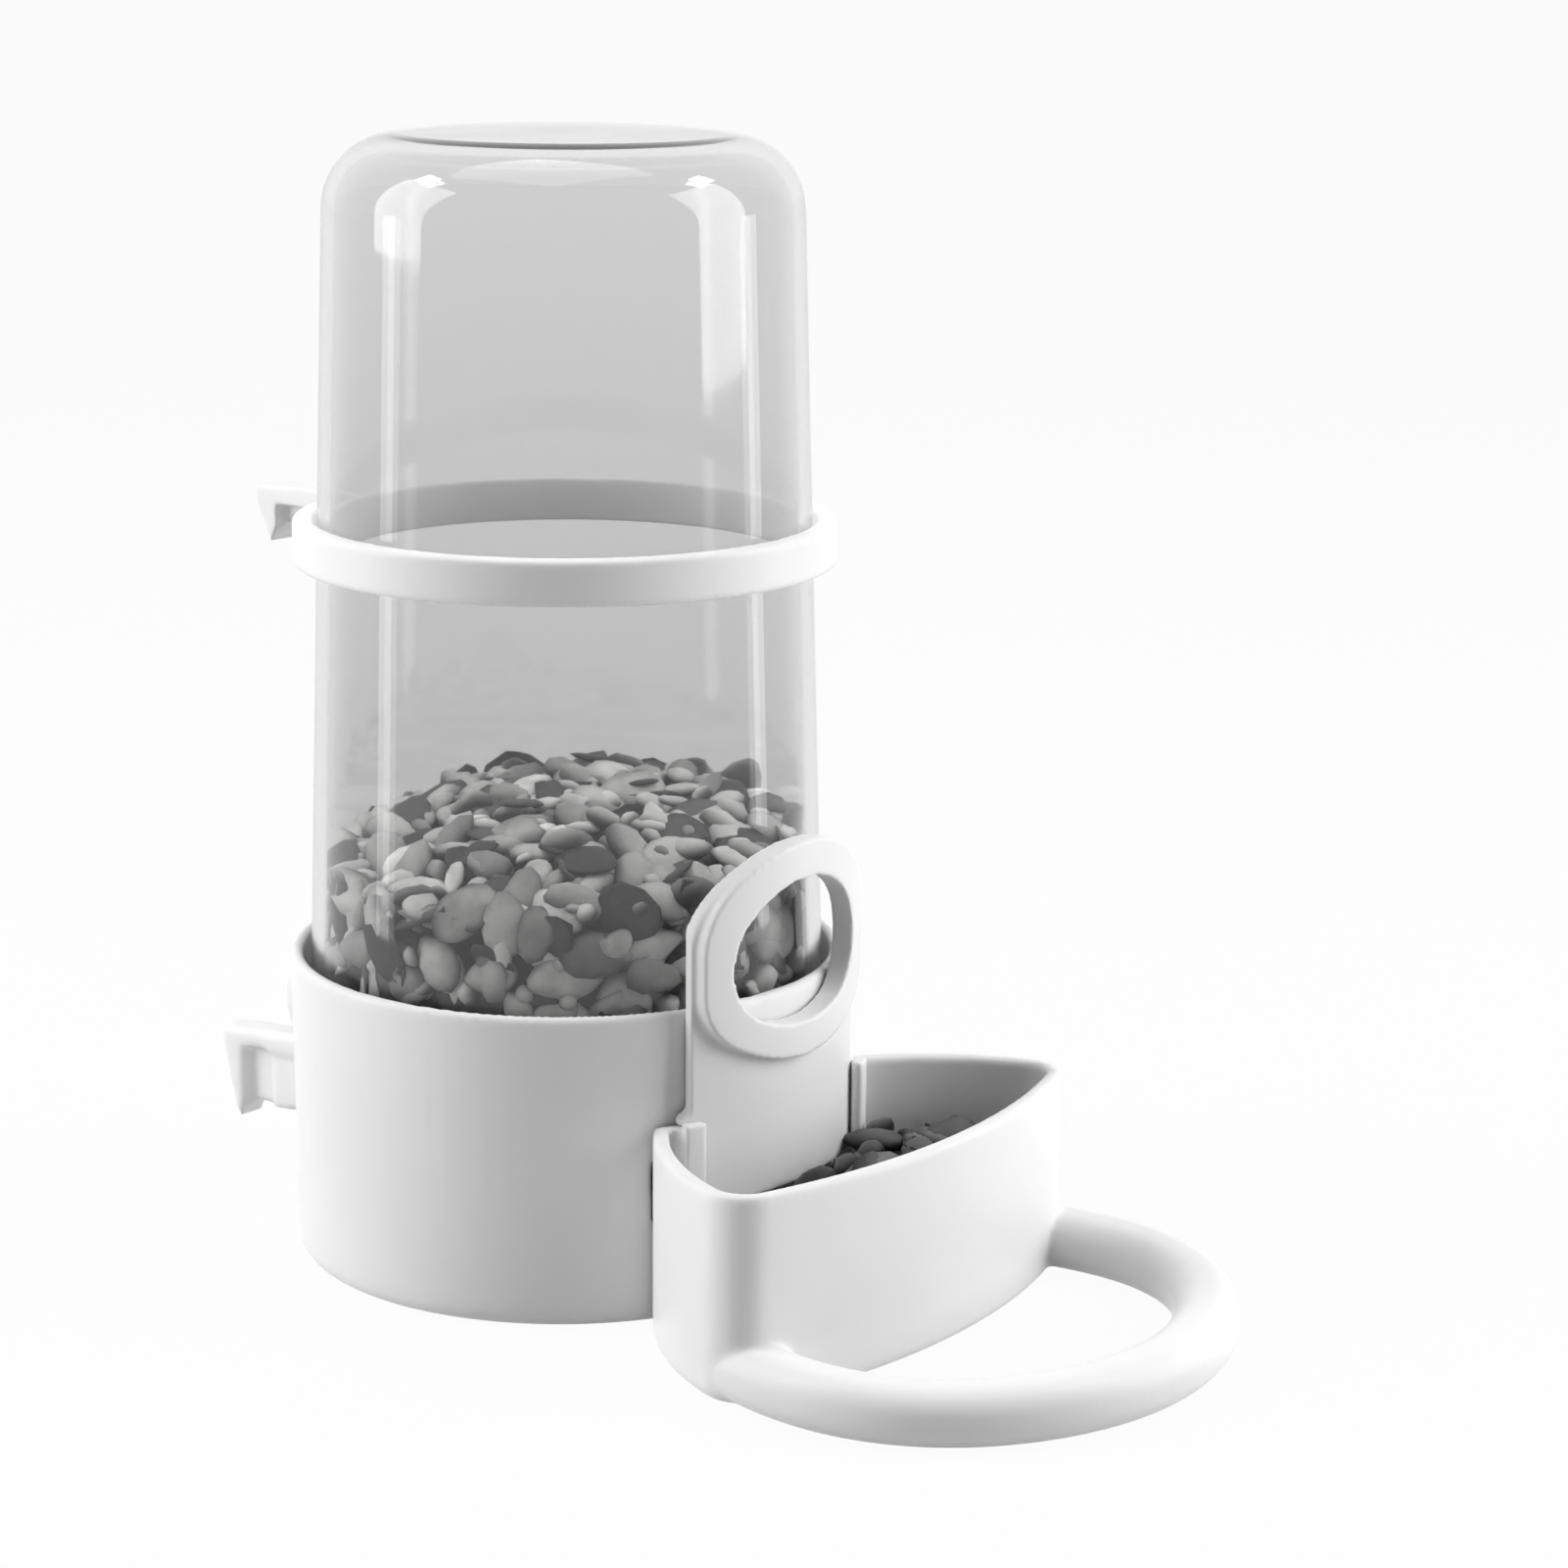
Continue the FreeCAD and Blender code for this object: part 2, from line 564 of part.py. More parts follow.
def make_bottle():
    body = new_body("bottle")
    dome = f"(({bottle_radius_at(BOTTLE_SHOULDER)})^2 + BottleDome^2) / (2 * BottleDome)"
    top = "BottleMouth + BottleLength"
    wall = outline(new_sketch(body, "bottle_section", "XZ_Plane"), [
        ("BottleMouthRadius - BottleWall", "BottleMouth"),
        ("BottleMouthRadius", "BottleMouth"),
        (f"{bottle_radius_at(BOTTLE_SHOULDER)}", BOTTLE_SHOULDER, dome),
        ("0", top),
        ("0", f"{top} - BottleWall", f"-{dome}"),
        (f"{bottle_radius_at(BOTTLE_SHOULDER)} - BottleWall", f"{BOTTLE_SHOULDER} - BottleWall"),
    ])
    turn_about(body, "Revolution", "bottle_form", wall)
    outer, inner = number(BOTTLE_SHOULDER), number(f"{BOTTLE_SHOULDER} - BottleWall")
    round_edges(body, "bottle_corner", "BottleCorner",
                lambda edge: is_circle(edge) and at_height(edge, outer))
    round_edges(body, "bottle_corner_inside", "BottleCorner - BottleWall",
                lambda edge: is_circle(edge) and at_height(edge, inner))
    return body


# The ring

def make_ring():
    body = new_body("bottle_ring")
    top = "RingLow + RingHeight"
    band = outline(new_sketch(body, "ring_outside", "XZ_Plane"), [
        ("0", "RingLow"), ("RingRadius", "RingLow"), ("RingRadius", top), ("0", top)])
    turn_about(body, "Revolution", "ring_form", band)
    round_edges(body, "ring_edges", "RingRound", is_circle)
    add_cage_hook(body, "RingHookReach", f"({top} - RingRound - RingHookRise)", "RingHookDrop",
                  "RingHookRise", "RingRadius - 2 * RingRound", "RingLow + RingRound")
    bore = outline(new_sketch(body, "ring_bore_side", "XZ_Plane"), [
        ("0", "RingLow"),
        (f"{bottle_radius_at('RingLow')} + RingFit", "RingLow"),
        (f"{bottle_radius_at(top)} + RingFit + RingFlare", top),
        ("0", top),
    ])
    turn_about(body, "Groove", "ring_bore", bore)
    return body


# The gate

def upright_slab(name, corners):
    """An outline drawn as seen from the front, drawn out through the front of the cup."""
    sketch = outline(free_sketch(name + "_face", upright=True), corners)
    slab = doc.addObject("Part::Extrusion", name)
    slab.Base = sketch
    slab.DirMode = "Custom"
    slab.Dir = FreeCAD.Vector(0, -1, 0)
    slab.setExpression("LengthFwd", bound("CupRimRadius + 4 * TrayWall"))
    slab.Solid = True
    return slab


def tube(name, inner, outer, angle):
    """A stretch of tube about the bottle's axis, centred on the front, as tall as the gate."""
    sketch = sector(free_sketch(name + "_plan", upright=False), inner, outer, f"-({angle})", angle)
    wall = doc.addObject("Part::Extrusion", name)
    wall.Base = sketch
    wall.DirMode = "Custom"
    wall.Dir = FreeCAD.Vector(0, 0, 1)
    wall.setExpression("LengthFwd", bound("GateTop + GateThickness"))
    wall.Solid = True
    return wall


def common(name, base, tool):
    part = doc.addObject("Part::Common", name)
    part.Base, part.Tool = base, tool
    return part


def arch_top(side):
    """The arch from one side of the gate or its frame, as corners of a half outline."""
    turn = "GateShoulder"
    flank = f"({side} - {turn}) * GateArch / (GateArch - {turn})"
    rise = f"sqrt(GateArch^2 - ({flank})^2)"
    across = f"({flank}) * {turn} / GateArch"
    drop = f"sqrt({turn}^2 - ({across})^2)"
    crown = f"GateTop - GateArch + {rise}"
    return [
        (side, f"{crown} - {drop}", turn),
        (flank, crown, "GateArch"),
        ("0", "GateTop"),
    ]


GATE_INNER = "(CupRimRadius + GateFit)"
GATE_OUTER = "(CupRimRadius + GateFit + GateThickness)"
GATE_SIDE = f"({GATE_OUTER} * sin(GateHalfAngle))"


def make_gate():
    sheet_tube = tube("gate_tube", GATE_INNER, GATE_OUTER, "GateHalfAngle")
    plate = common("gate_plate", sheet_tube, upright_slab("gate_outline", both_sides(
        [("0", "GateLow"), (GATE_SIDE, "GateLow")] + arch_top(GATE_SIDE))))

    frame_side = f"({GATE_SIDE} - FrameInset)"
    start = f"({frame_side} - FrameCorner) * FrameArch / (FrameArch - FrameCorner)"
    low = f"FrameLow + FrameArch - sqrt(FrameArch^2 - ({start})^2)"
    turn_up = f"sqrt(FrameCorner^2 - (({start}) * FrameCorner / FrameArch)^2)"
    frame_tube = tube("frame_tube", f"({GATE_INNER} + GateThickness / 2)", f"({GATE_OUTER} + FrameProud)",
                      "GateHalfAngle")
    frame = common("gate_frame", frame_tube, upright_slab("frame_outline", both_sides([
        ("0", "FrameLow", "FrameArch"),
        (start, low, "FrameCorner"),
        (frame_side, f"{low} + {turn_up}"),
    ] + arch_top(frame_side))))

    stop_low = "TrayHeight + GateStopGap"
    stop_side = f"({GATE_SIDE} + GateStopReach)"
    stop_tube = tube("stop_tube", GATE_INNER, GATE_OUTER, "GateHalfAngle + ChannelSlack + ChannelWeb")
    stops = common("gate_stops", stop_tube, upright_slab("stop_outline", both_sides([
        ("0", stop_low),
        (stop_side, stop_low),
        (stop_side, f"{stop_low} + GateStopGap"),
        (f"{GATE_SIDE} - GateStopReach", f"{stop_low} + GateStopRise"),
        ("0", f"{stop_low} + GateStopRise"),
    ])))
    crown = "WindowHigh - WindowArchHigh + sqrt(WindowArchHigh^2 - WindowFlank^2)"
    window = upright_slab("gate_window", both_sides([
        ("0", "WindowLow", "WindowArchLow"),
        ("WindowFlank", "WindowLow + WindowArchLow - sqrt(WindowArchLow^2 - WindowFlank^2)", "WindowFlank"),
        ("WindowHalfWidth", "WindowMiddle", "WindowFlank * 1.2"),
        ("WindowFlank", crown, "WindowArchHigh"),
        ("0", "WindowHigh"),
    ]))
    whole = doc.addObject("Part::MultiFuse", "gate_blank")
    whole.Shapes = [plate, frame, stops]
    gate = doc.addObject("Part::Cut", "gate")
    gate.Base, gate.Tool = whole, window
    return gate


# The tray

BACK_RADIUS = "(CupRimRadius + TrayFit)"
LOOP_SIDE = "(TrayHalfWidth - LoopInset)"
LOOP_TIP_ARC = (f"((LoopReach^2 + ({LOOP_SIDE} - LoopSideArc)^2 - LoopSideArc^2)"
                " / (2 * (LoopReach - LoopSideArc)))")


def loop_section(sketch, middle):
    """The loop's section, standing on the floor, with its middle at the given place."""
    near, far = f"{middle} - LoopWidth / 2", f"{middle} + LoopWidth / 2"
    return outline(sketch, [
        (f"{near} + LoopRound", "0"),
        (f"{far} - LoopRound", "0", "LoopRound"),
        (far, "LoopRound"),
        (far, "LoopHeight - LoopRound", "LoopRound"),
        (f"{far} - LoopRound", "LoopHeight"),
        (f"{near} + LoopRound", "LoopHeight", "LoopRound"),
        (near, "LoopHeight - LoopRound"),
        (near, "LoopRound", "LoopRound"),
    ])


def upright_line(sketch, place):
    """A construction line to turn about, given as the axis of a feature."""
    foot, head = (FreeCAD.Vector(number(place), number(high), 0) for high in ("0", "LoopHeight"))
    sketch.addGeometry(Part.LineSegment(foot, head), True)
    edge = sketch.GeometryCount - 1
    pin_point(sketch, edge, 1, place, "0")
    pin_point(sketch, edge, 2, place, "LoopHeight")
    return sketch, ["Axis0"]


def add_loop(body):
    """The perch loop: a root beside the tray and a bend at each side, then a bend round the front."""
    aside = f"({LOOP_SIDE} - LoopSideArc)"
    share = f"{aside} / ({LOOP_TIP_ARC} - LoopSideArc)"
    features = []
    for name, centre, angle, back in (
            ("loop_root", f"{LOOP_SIDE} - TraySideArc", "LoopRootAngle", False),
            ("loop_side", aside, f"acos({share})", True)):
        cut = new_sketch(body, name + "_section", "XZ_Plane", lift="TrayWideAt")
        loop_section(cut, f"{LOOP_SIDE} - LoopWidth / 2")
        axis = upright_line(cut, centre)
        features.append(turn_about(body, "Revolution", name, cut, axis, angle, back=back))
    mirror_across(body, "loop_other_side", features)
    front = new_sketch(body, "loop_front_section", "YZ_Plane")
    loop_section(front, "LoopWidth / 2 - TrayWideAt - LoopReach")
    axis = upright_line(front, f"{LOOP_TIP_ARC} - TrayWideAt - LoopReach")
    turn_about(body, "Revolution", "loop_front", front, axis, f"2 * asin({share})", both=True)


def add_channels(body):
    """The two channels that hold the gate's edges: the way between them, a web and a lip each side."""
    web_from = "GateHalfAngle + ChannelSlack"
    web_to = "GateHalfAngle + ChannelSlack + ChannelWeb"
    lip_inner = f"({GATE_OUTER} + ChannelFit)"
    lip_outer = f"({GATE_OUTER} + ChannelFit + ChannelWall)"
    way = sector(new_sketch(body, "gate_way_plan", "XY_Plane", "TrayFloor"),
                 "(CupRimRadius - CupWall)", lip_inner, f"-({web_from})", web_from)
    extrude(body, "Pocket", "gate_way", way, "TrayHeight", back=True)
    tall = "TrayHeight - TrayFloor / 2"
    web = sector(new_sketch(body, "channel_web_plan", "XY_Plane", "TrayFloor / 2"),
                 f"({BACK_RADIUS} + TrayBack / 2)", lip_outer, web_from, web_to)
    lip = sector(new_sketch(body, "channel_lip_plan", "XY_Plane", "TrayFloor / 2"),
                 lip_inner, lip_outer, "GateHalfAngle - ChannelLip", web_to)
    pads = [extrude(body, "Pad", "channel_web", web, tall),
            extrude(body, "Pad", "channel_lip", lip, tall + " + ChannelRise")]
    mirror_across(body, "other_channel", pads)


def add_tray_hooks(body):
    """Two hooks through the slots in the cup's wall, each with a lip that drops behind it."""
    lip_outer = f"({cup_radius_at('0')} - CupWall - TrayHookFit)"
    side = outline(new_sketch(body, "tray_hook_side", "XZ_Plane", turn="TrayHookAngle - 90"), [
        (f"{BACK_RADIUS} + TrayBack / 2", "TrayHookSeat"),
        (f"{BACK_RADIUS} + TrayBack / 2", "TrayHookHigh"),
        (f"{lip_outer} - TrayHookLip", "TrayHookHigh"),
        (f"{lip_outer} - TrayHookLip", "TrayHookLow + TrayHookLip / 2"),
        (f"{lip_outer} - TrayHookLip / 2", "TrayHookLow"),
        (lip_outer, "TrayHookLow + TrayHookLip / 2"),
        (lip_outer, "TrayHookSeat"),
    ])
    hook = extrude(body, "Pad", "tray_hook", side, "TrayHookWidth", both=True)
    mirror_across(body, "other_tray_hook", [hook])


def is_upright(edge):
    box = edge.BoundBox
    return box.ZLength > 1 and box.XLength < 1e-4 and box.YLength < 1e-4


def make_tray():
    body = new_body("tray")
    block = tray_plan(new_sketch(body, "tray_plan", "XY_Plane"), "0", BACK_RADIUS)
    extrude(body, "Pad", "tray_block", block, "TrayHeight")
    ahead = -number(f"{BACK_RADIUS} + TrayCorner")
    round_edges(body, "tray_corners", "TrayCorner",
                lambda edge: is_upright(edge) and edge.BoundBox.YMax < ahead)
    back = number(BACK_RADIUS)
    high = number("TrayHeight")

    def outer_edge(edge, height):
        return at_height(edge, height) and not is_circle(edge, back)

    round_edges(body, "tray_foot", "TrayFootRound", lambda edge: outer_edge(edge, 0))
    round_edges(body, "tray_rim", "TrayRimRound", lambda edge: outer_edge(edge, high))
    add_loop(body)

    trough = tray_plan(new_sketch(body, "trough_plan", "XY_Plane", "TrayFloor"), "TrayWall",
                       f"({BACK_RADIUS} + TrayBack)")
    hollow = extrude(body, "Pocket", "trough", trough, "TrayHeight", back=True)
    floor = number("TrayFloor")
    inner = number("TrayWall")
    inside = [number("TraySideArc") - inner, number("TrayFrontArc") - inner]
    round_edges(body, "trough_corners", "TrayCorner - TrayWall",
                lambda edge: is_upright(edge) and edge.BoundBox.YMax < ahead
                and edge.BoundBox.ZMin < floor + 0.01 and edge.BoundBox.ZMax > high - 2 * inner)
    corner = number("TrayCorner - TrayWall")
    round_edges(body, "trough_rim", "TrayRimRound",
                lambda edge: at_height(edge, high) and any(is_circle(edge, r) for r in inside + [corner]))
    add_channels(body)
    add_tray_hooks(body)
    return body


# The seed

def make_seed_fill():
    """The seed in the cup and the bottle: a column with a sloping, slightly rounded top."""
    body = new_body("seed_fill")
    below = "BottleMouthRadius - BottleWall - BottleFit - SeedGap"
    column = outline(new_sketch(body, "seed_section", "XZ_Plane"), [
        ("0", "CupFloor"),
        (below, "CupFloor"),
        (below, "BottleMouth"),
        (f"{bottle_radius_at('SeedHigh')} - BottleWall - SeedGap", "SeedHigh"),
        ("0", "SeedHigh"),
    ])
    turn_about(body, "Revolution", "seed_column", column)
    above = outline(new_sketch(body, "seed_slope", "XZ_Plane", turn="SeedLean"), [
        ("-BottleMouthRadius", "SeedLow", "-4 * BottleMouthRadius"),
        ("BottleMouthRadius", "SeedHigh - SeedGap"),
        ("BottleMouthRadius", "SeedHigh + BottleMouthRadius"),
        ("-BottleMouthRadius", "SeedHigh + BottleMouthRadius"),
    ])
    extrude(body, "Pocket", "seed_top", above, "4 * BottleMouthRadius", both=True)
    return body


def make_tray_seed():
    """The seed in the tray: the trough's plan under a wide rounded top."""
    lip_outer = f"{GATE_OUTER} + ChannelFit + ChannelWall"
    plan = tray_plan(free_sketch("heap_plan", upright=False), "TrayWall - SeedGap",
                     f"({lip_outer} + SeedGap)")
    plan.Placement.Base.z = number("TrayFloor")
    plan.setExpression("Placement.Base.z", bound("TrayFloor"))
    prism = doc.addObject("Part::Extrusion", "heap_prism")
    prism.Base = plan
    prism.DirMode = "Custom"
    prism.Dir = FreeCAD.Vector(0, 0, 1)
    prism.setExpression("LengthFwd", bound("HeapHigh"))
    prism.Solid = True
    mound = doc.addObject("Part::Sphere", "heap_mound")
    mound.setExpression("Radius", bound("HeapRadius"))
    mound.setExpression("Placement.Base.x", bound("HeapAside"))
    mound.setExpression("Placement.Base.y", bound("-HeapAhead"))
    mound.setExpression("Placement.Base.z", bound("HeapHigh - HeapRadius"))
    return common("tray_seed", prism, mound)


PARTS = [make_cup(), make_bottle(), make_ring(), make_gate(), make_tray(), make_seed_fill(),
         make_tray_seed()]
doc.recompute()

faults = [f"{item.Label}: {state}" for item in doc.Objects for state in item.State
          if state in ("Invalid", "Error")]
for part in PARTS:
    shape = part.Shape
    if shape.isNull() or not shape.isValid() or len(shape.Solids) != 1:
        faults.append(f"{part.Label}: not one valid solid")
if faults:
    raise ValueError("; ".join(faults))

os.makedirs("parts", exist_ok=True)
for part in PARTS:
    box = part.Shape.BoundBox
    print(f"{part.Label}: {part.Shape.Volume:.0f} mm3, x {box.XMin:.1f} to {box.XMax:.1f}, "
          f"y {box.YMin:.1f} to {box.YMax:.1f}, z {box.ZMin:.1f} to {box.ZMax:.1f}")
    part.Shape.exportStep(f"parts/{part.Label}.step")
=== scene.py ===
import math

import bmesh
import bpy
import numpy as np
from mathutils import Matrix, Vector


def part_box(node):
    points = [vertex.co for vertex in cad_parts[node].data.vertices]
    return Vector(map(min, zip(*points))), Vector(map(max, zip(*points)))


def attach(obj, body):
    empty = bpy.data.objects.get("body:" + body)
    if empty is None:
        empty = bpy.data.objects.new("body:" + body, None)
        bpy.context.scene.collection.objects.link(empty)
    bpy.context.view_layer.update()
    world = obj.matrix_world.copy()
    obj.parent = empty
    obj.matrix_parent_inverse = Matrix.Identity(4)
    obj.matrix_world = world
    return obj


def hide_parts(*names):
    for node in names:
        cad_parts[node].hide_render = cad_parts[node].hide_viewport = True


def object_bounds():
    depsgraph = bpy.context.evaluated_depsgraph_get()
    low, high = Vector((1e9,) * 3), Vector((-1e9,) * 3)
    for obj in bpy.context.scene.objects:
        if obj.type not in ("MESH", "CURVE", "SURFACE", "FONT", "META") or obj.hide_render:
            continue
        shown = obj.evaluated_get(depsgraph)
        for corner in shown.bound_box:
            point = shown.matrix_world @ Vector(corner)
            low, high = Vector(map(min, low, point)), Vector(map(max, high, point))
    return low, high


# Cage feeder on a white floor: moulded white plastic, a clear smoky bottle and mixed seed.
# Blender works in metres. Lengths among the user values below are in millimetres.

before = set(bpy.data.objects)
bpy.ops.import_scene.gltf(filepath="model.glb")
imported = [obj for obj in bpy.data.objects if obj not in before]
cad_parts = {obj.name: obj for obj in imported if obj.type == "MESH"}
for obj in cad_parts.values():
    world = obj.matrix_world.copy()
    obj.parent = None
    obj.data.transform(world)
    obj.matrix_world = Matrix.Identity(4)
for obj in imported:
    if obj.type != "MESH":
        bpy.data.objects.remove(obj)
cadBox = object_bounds()
mm = 0.001
weldReach = 0.002  # corners nearer than this become one
scene = bpy.context.scene
print("frame:", ", ".join(sorted(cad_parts)))


# Small helpers

def addObject(name, mesh):
    thing = bpy.data.objects.new(name, mesh)
    scene.collection.objects.link(thing)
    return thing


def meshFrom(name, bm):
    mesh = bpy.data.meshes.new(name)
    bm.to_mesh(mesh)
    bm.free()
    return mesh


def mergedCopy(nodeName, name):  # a welded copy of a frame node, free to be changed
    bm = bmesh.new()
    bm.from_mesh(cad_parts[nodeName].data)
    bmesh.ops.remove_doubles(bm, verts=bm.verts, dist=weldReach * mm)
    mesh = meshFrom(name, bm)
    mesh.materials.clear()
    return mesh


def applied(thing):  # the object's mesh with its modifiers worked in
    graph = bpy.context.evaluated_depsgraph_get()
    mesh = bpy.data.meshes.new_from_object(thing.evaluated_get(graph))
    thing.modifiers.clear()
    thing.data = mesh
    return thing


def node(tree, kind, at=(0, 0), **settings):
    made = tree.nodes.new(kind)
    made.location = at
    for key, value in settings.items():
        setattr(made, key, value)
    return made


def newMaterial(name):
    material = bpy.data.materials.new(name)
    material.use_nodes = True
    shader = material.node_tree.nodes["Principled BSDF"]
    return material, material.node_tree, shader


# Camera

cameraView = {
    "place": (-338.2, -291.4, 160.25),
    "aim": (15.57, -20.32, 56.07),
    "roll": 0.5,  # degrees
    "lens": 89.24,
    "sensor": 36.0,
    "clip": (10.0, 20000.0),
}


def makeCamera(v):
    data = bpy.data.cameras.new("photoCamera")
    data.lens, data.sensor_width = v["lens"], v["sensor"]
    data.clip_start, data.clip_end = (reach * mm for reach in v["clip"])
    thing = addObject("photoCamera", data)
    place, aim = Vector(v["place"]) * mm, Vector(v["aim"]) * mm
    turn = (aim - place).to_track_quat("-Z", "Y").to_matrix().to_4x4()
    thing.matrix_world = Matrix.Translation(place) @ turn @ Matrix.Rotation(math.radians(v["roll"]), 4, "Z")
    scene.camera = thing


makeCamera(cameraView)
print("camera placed")


# Floor, world and lamps

stageLook = {
    "floorWhite": 0.6,
    "floorGlow": 0.96,  # share of the floor that shows plain white to the camera
    "worldLevel": 0.03,
    "worldShown": 1.0,  # what the camera, gloss and clear plastic see
    "span": 40000.0,
    "roughness": 0.9,
    "lampAim": 0.53,  # share of the height that the lamps point at
}

# angle is measured from the camera's side, minus to the left, as seen from above the object
lamps = {
    "leftBox": {"angle": -87, "rise": 24, "far": 720, "size": (420, 620), "power": 4.7, "mirrored": False},
    "rightBox": {"angle": 82, "rise": 22, "far": 700, "size": (380, 620), "power": 4.5, "mirrored": False},
    "topBox": {"angle": -135, "rise": 84, "far": 800, "size": (600, 600), "power": 2.5, "mirrored": False},
    "leftStrip": {"angle": -84, "rise": 0, "far": 200, "size": (26, 136), "power": 0.026, "mirrored": True},
    "rightStrip": {"angle": 92, "rise": 0, "far": 200, "size": (26, 136), "power": 0.026, "mirrored": True},
    "leftSpot": {"angle": -90, "rise": 50, "far": 500, "size": (70, 70), "power": 0.2, "mirrored": True},
    "rightSpot": {"angle": 92, "rise": 50, "far": 500, "size": (70, 70), "power": 0.2, "mirrored": True},
}


def shownToEye(tree):  # 1 for what the camera, a reflection or a clear wall sees directly, else 0
    path = node(tree, "ShaderNodeLightPath", (-700, 300))
    first = node(tree, "ShaderNodeMath", (-500, 300), operation="MAXIMUM")
    second = node(tree, "ShaderNodeMath", (-320, 300), operation="MAXIMUM")
    tree.links.new(path.outputs["Is Camera Ray"], first.inputs[0])
    tree.links.new(path.outputs["Is Glossy Ray"], first.inputs[1])
    tree.links.new(first.outputs[0], second.inputs[0])
    tree.links.new(path.outputs["Is Transmission Ray"], second.inputs[1])
    return second.outputs[0]


def makeStage(v):
    material, tree, shader = newMaterial("whiteFloor")
    shader.inputs["Base Color"].default_value = (v["floorWhite"],) * 3 + (1,)
    shader.inputs["Roughness"].default_value = v["roughness"]
    shader.inputs["Specular IOR Level"].default_value = 0.0
    glow = node(tree, "ShaderNodeEmission", (-100, -200))
    mix = node(tree, "ShaderNodeMixShader", (300, 0))
    share = node(tree, "ShaderNodeMath", (0, 260), operation="MULTIPLY")
    share.inputs[1].default_value = v["floorGlow"]
    tree.links.new(shownToEye(tree), share.inputs[0])
    tree.links.new(share.outputs[0], mix.inputs[0])
    tree.links.new(shader.outputs[0], mix.inputs[1])
    tree.links.new(glow.outputs[0], mix.inputs[2])
    tree.links.new(mix.outputs[0], tree.nodes["Material Output"].inputs["Surface"])
    bm = bmesh.new()
    bmesh.ops.create_grid(bm, x_segments=1, y_segments=1, size=v["span"] * mm / 2)
    floor = addObject("floor", meshFrom("floor", bm))
    floor.data.materials.append(material)

    world = bpy.data.worlds.new("studioWorld")
    world.use_nodes = True
    tree = world.node_tree
    level = node(tree, "ShaderNodeMapRange", (-120, 0))
    level.inputs["To Min"].default_value = v["worldLevel"]
    level.inputs["To Max"].default_value = v["worldShown"]
    tree.links.new(shownToEye(tree), level.inputs["Value"])
    tree.links.new(level.outputs[0], tree.nodes["Background"].inputs["Strength"])
    tree.nodes["Background"].inputs["Color"].default_value = (1, 1, 1, 1)
    scene.world = world


def makeLamps():
    middle = Vector((0, 0, cadBox[1].z * stageLook["lampAim"]))
    toCamera = math.atan2(cameraView["place"][1], cameraView["place"][0])
    for name, v in lamps.items():
        data = bpy.data.lights.new(name, "AREA")
        data.shape = "RECTANGLE"
        data.size, data.size_y = (side * mm for side in v["size"])
        data.energy = v["power"]
        lamp = addObject(name, data)
        lamp.visible_glossy = v["mirrored"]
        around, rise = toCamera + math.radians(v["angle"]), math.radians(v["rise"])
        out = Vector((math.cos(around) * math.cos(rise), math.sin(around) * math.cos(rise), math.sin(rise)))
        lamp.location = middle + out * v["far"] * mm
        lamp.rotation_mode = "QUATERNION"
        lamp.rotation_quaternion = (-out).to_track_quat("-Z", "Y")


makeStage(stageLook)
makeLamps()
scene.view_settings.view_transform = "Standard"
print("floor, world and", len(lamps), "lamps made")


# Finishes

whiteLook = {
    "shades": (0.80, 0.86),
    "roughness": (0.30, 0.40),
    "patch": 22.0,  # patches per metre
    "patchDetail": 3,
    "patchEdges": (0.35, 0.65),
    "grain": 900.0,
    "grainDetail": 2,
    "grainDepth": 0.012,
    "grainStrength": 0.5,
    "bending": 1.49,
}


def whitePlastic(v):
    material, tree, shader = newMaterial("whitePlastic")
    where = node(tree, "ShaderNodeTexCoord", (-1100, 0))
    patch = node(tree, "ShaderNodeTexNoise", (-900, 150))
    patch.inputs["Scale"].default_value = v["patch"]
    patch.inputs["Detail"].default_value = v["patchDetail"]
    shade = node(tree, "ShaderNodeValToRGB", (-650, 250))
    for stop, edge, level in zip(shade.color_ramp.elements, v["patchEdges"], v["shades"]):
        stop.position = edge
        stop.color = (level, level, level, 1)
    dull = node(tree, "ShaderNodeMapRange", (-650, 0))
    dull.inputs["To Min"].default_value, dull.inputs["To Max"].default_value = v["roughness"]
    grain = node(tree, "ShaderNodeTexNoise", (-900, -250))
    grain.inputs["Scale"].default_value = v["grain"]
    grain.inputs["Detail"].default_value = v["grainDetail"]
    bump = node(tree, "ShaderNodeBump", (-500, -250))
    bump.inputs["Strength"].default_value = v["grainStrength"]
    bump.inputs["Distance"].default_value = v["grainDepth"] * mm
    tree.links.new(where.outputs["Object"], patch.inputs["Vector"])
    tree.links.new(where.outputs["Object"], grain.inputs["Vector"])
    tree.links.new(patch.outputs[0], shade.inputs[0])
    tree.links.new(patch.outputs[0], dull.inputs["Value"])
    tree.links.new(grain.outputs[0], bump.inputs["Height"])
    tree.links.new(shade.outputs[0], shader.inputs["Base Color"])
    tree.links.new(dull.outputs[0], shader.inputs["Roughness"])
    tree.links.new(bump.outputs[0], shader.inputs["Normal"])
    shader.inputs["IOR"].default_value = v["bending"]
    return material


smokyLook = {
    "tintHigh": 0.80,  # shade at the top of the bottle
    "tintAndShadeLow": 0.70,  # smoky tint with painted shade, darker down by the seed
    "paintedEdgeLight": 0.97,  # painted light: the wall drawn lighter where it is seen along its length
    "roughness": 0.035,
    "shadeStart": 60.0,  # height where the painted shade starts to fade into the top's tint
    # facing shares over which the painted edge light comes in
    "edgeFrom": (0.55, 0.85),
    "wave": 60.0,  # waves per metre
    "waveDepth": 0.02,
    "waveStrength": 0.4,
    "bending": 1.49,
}


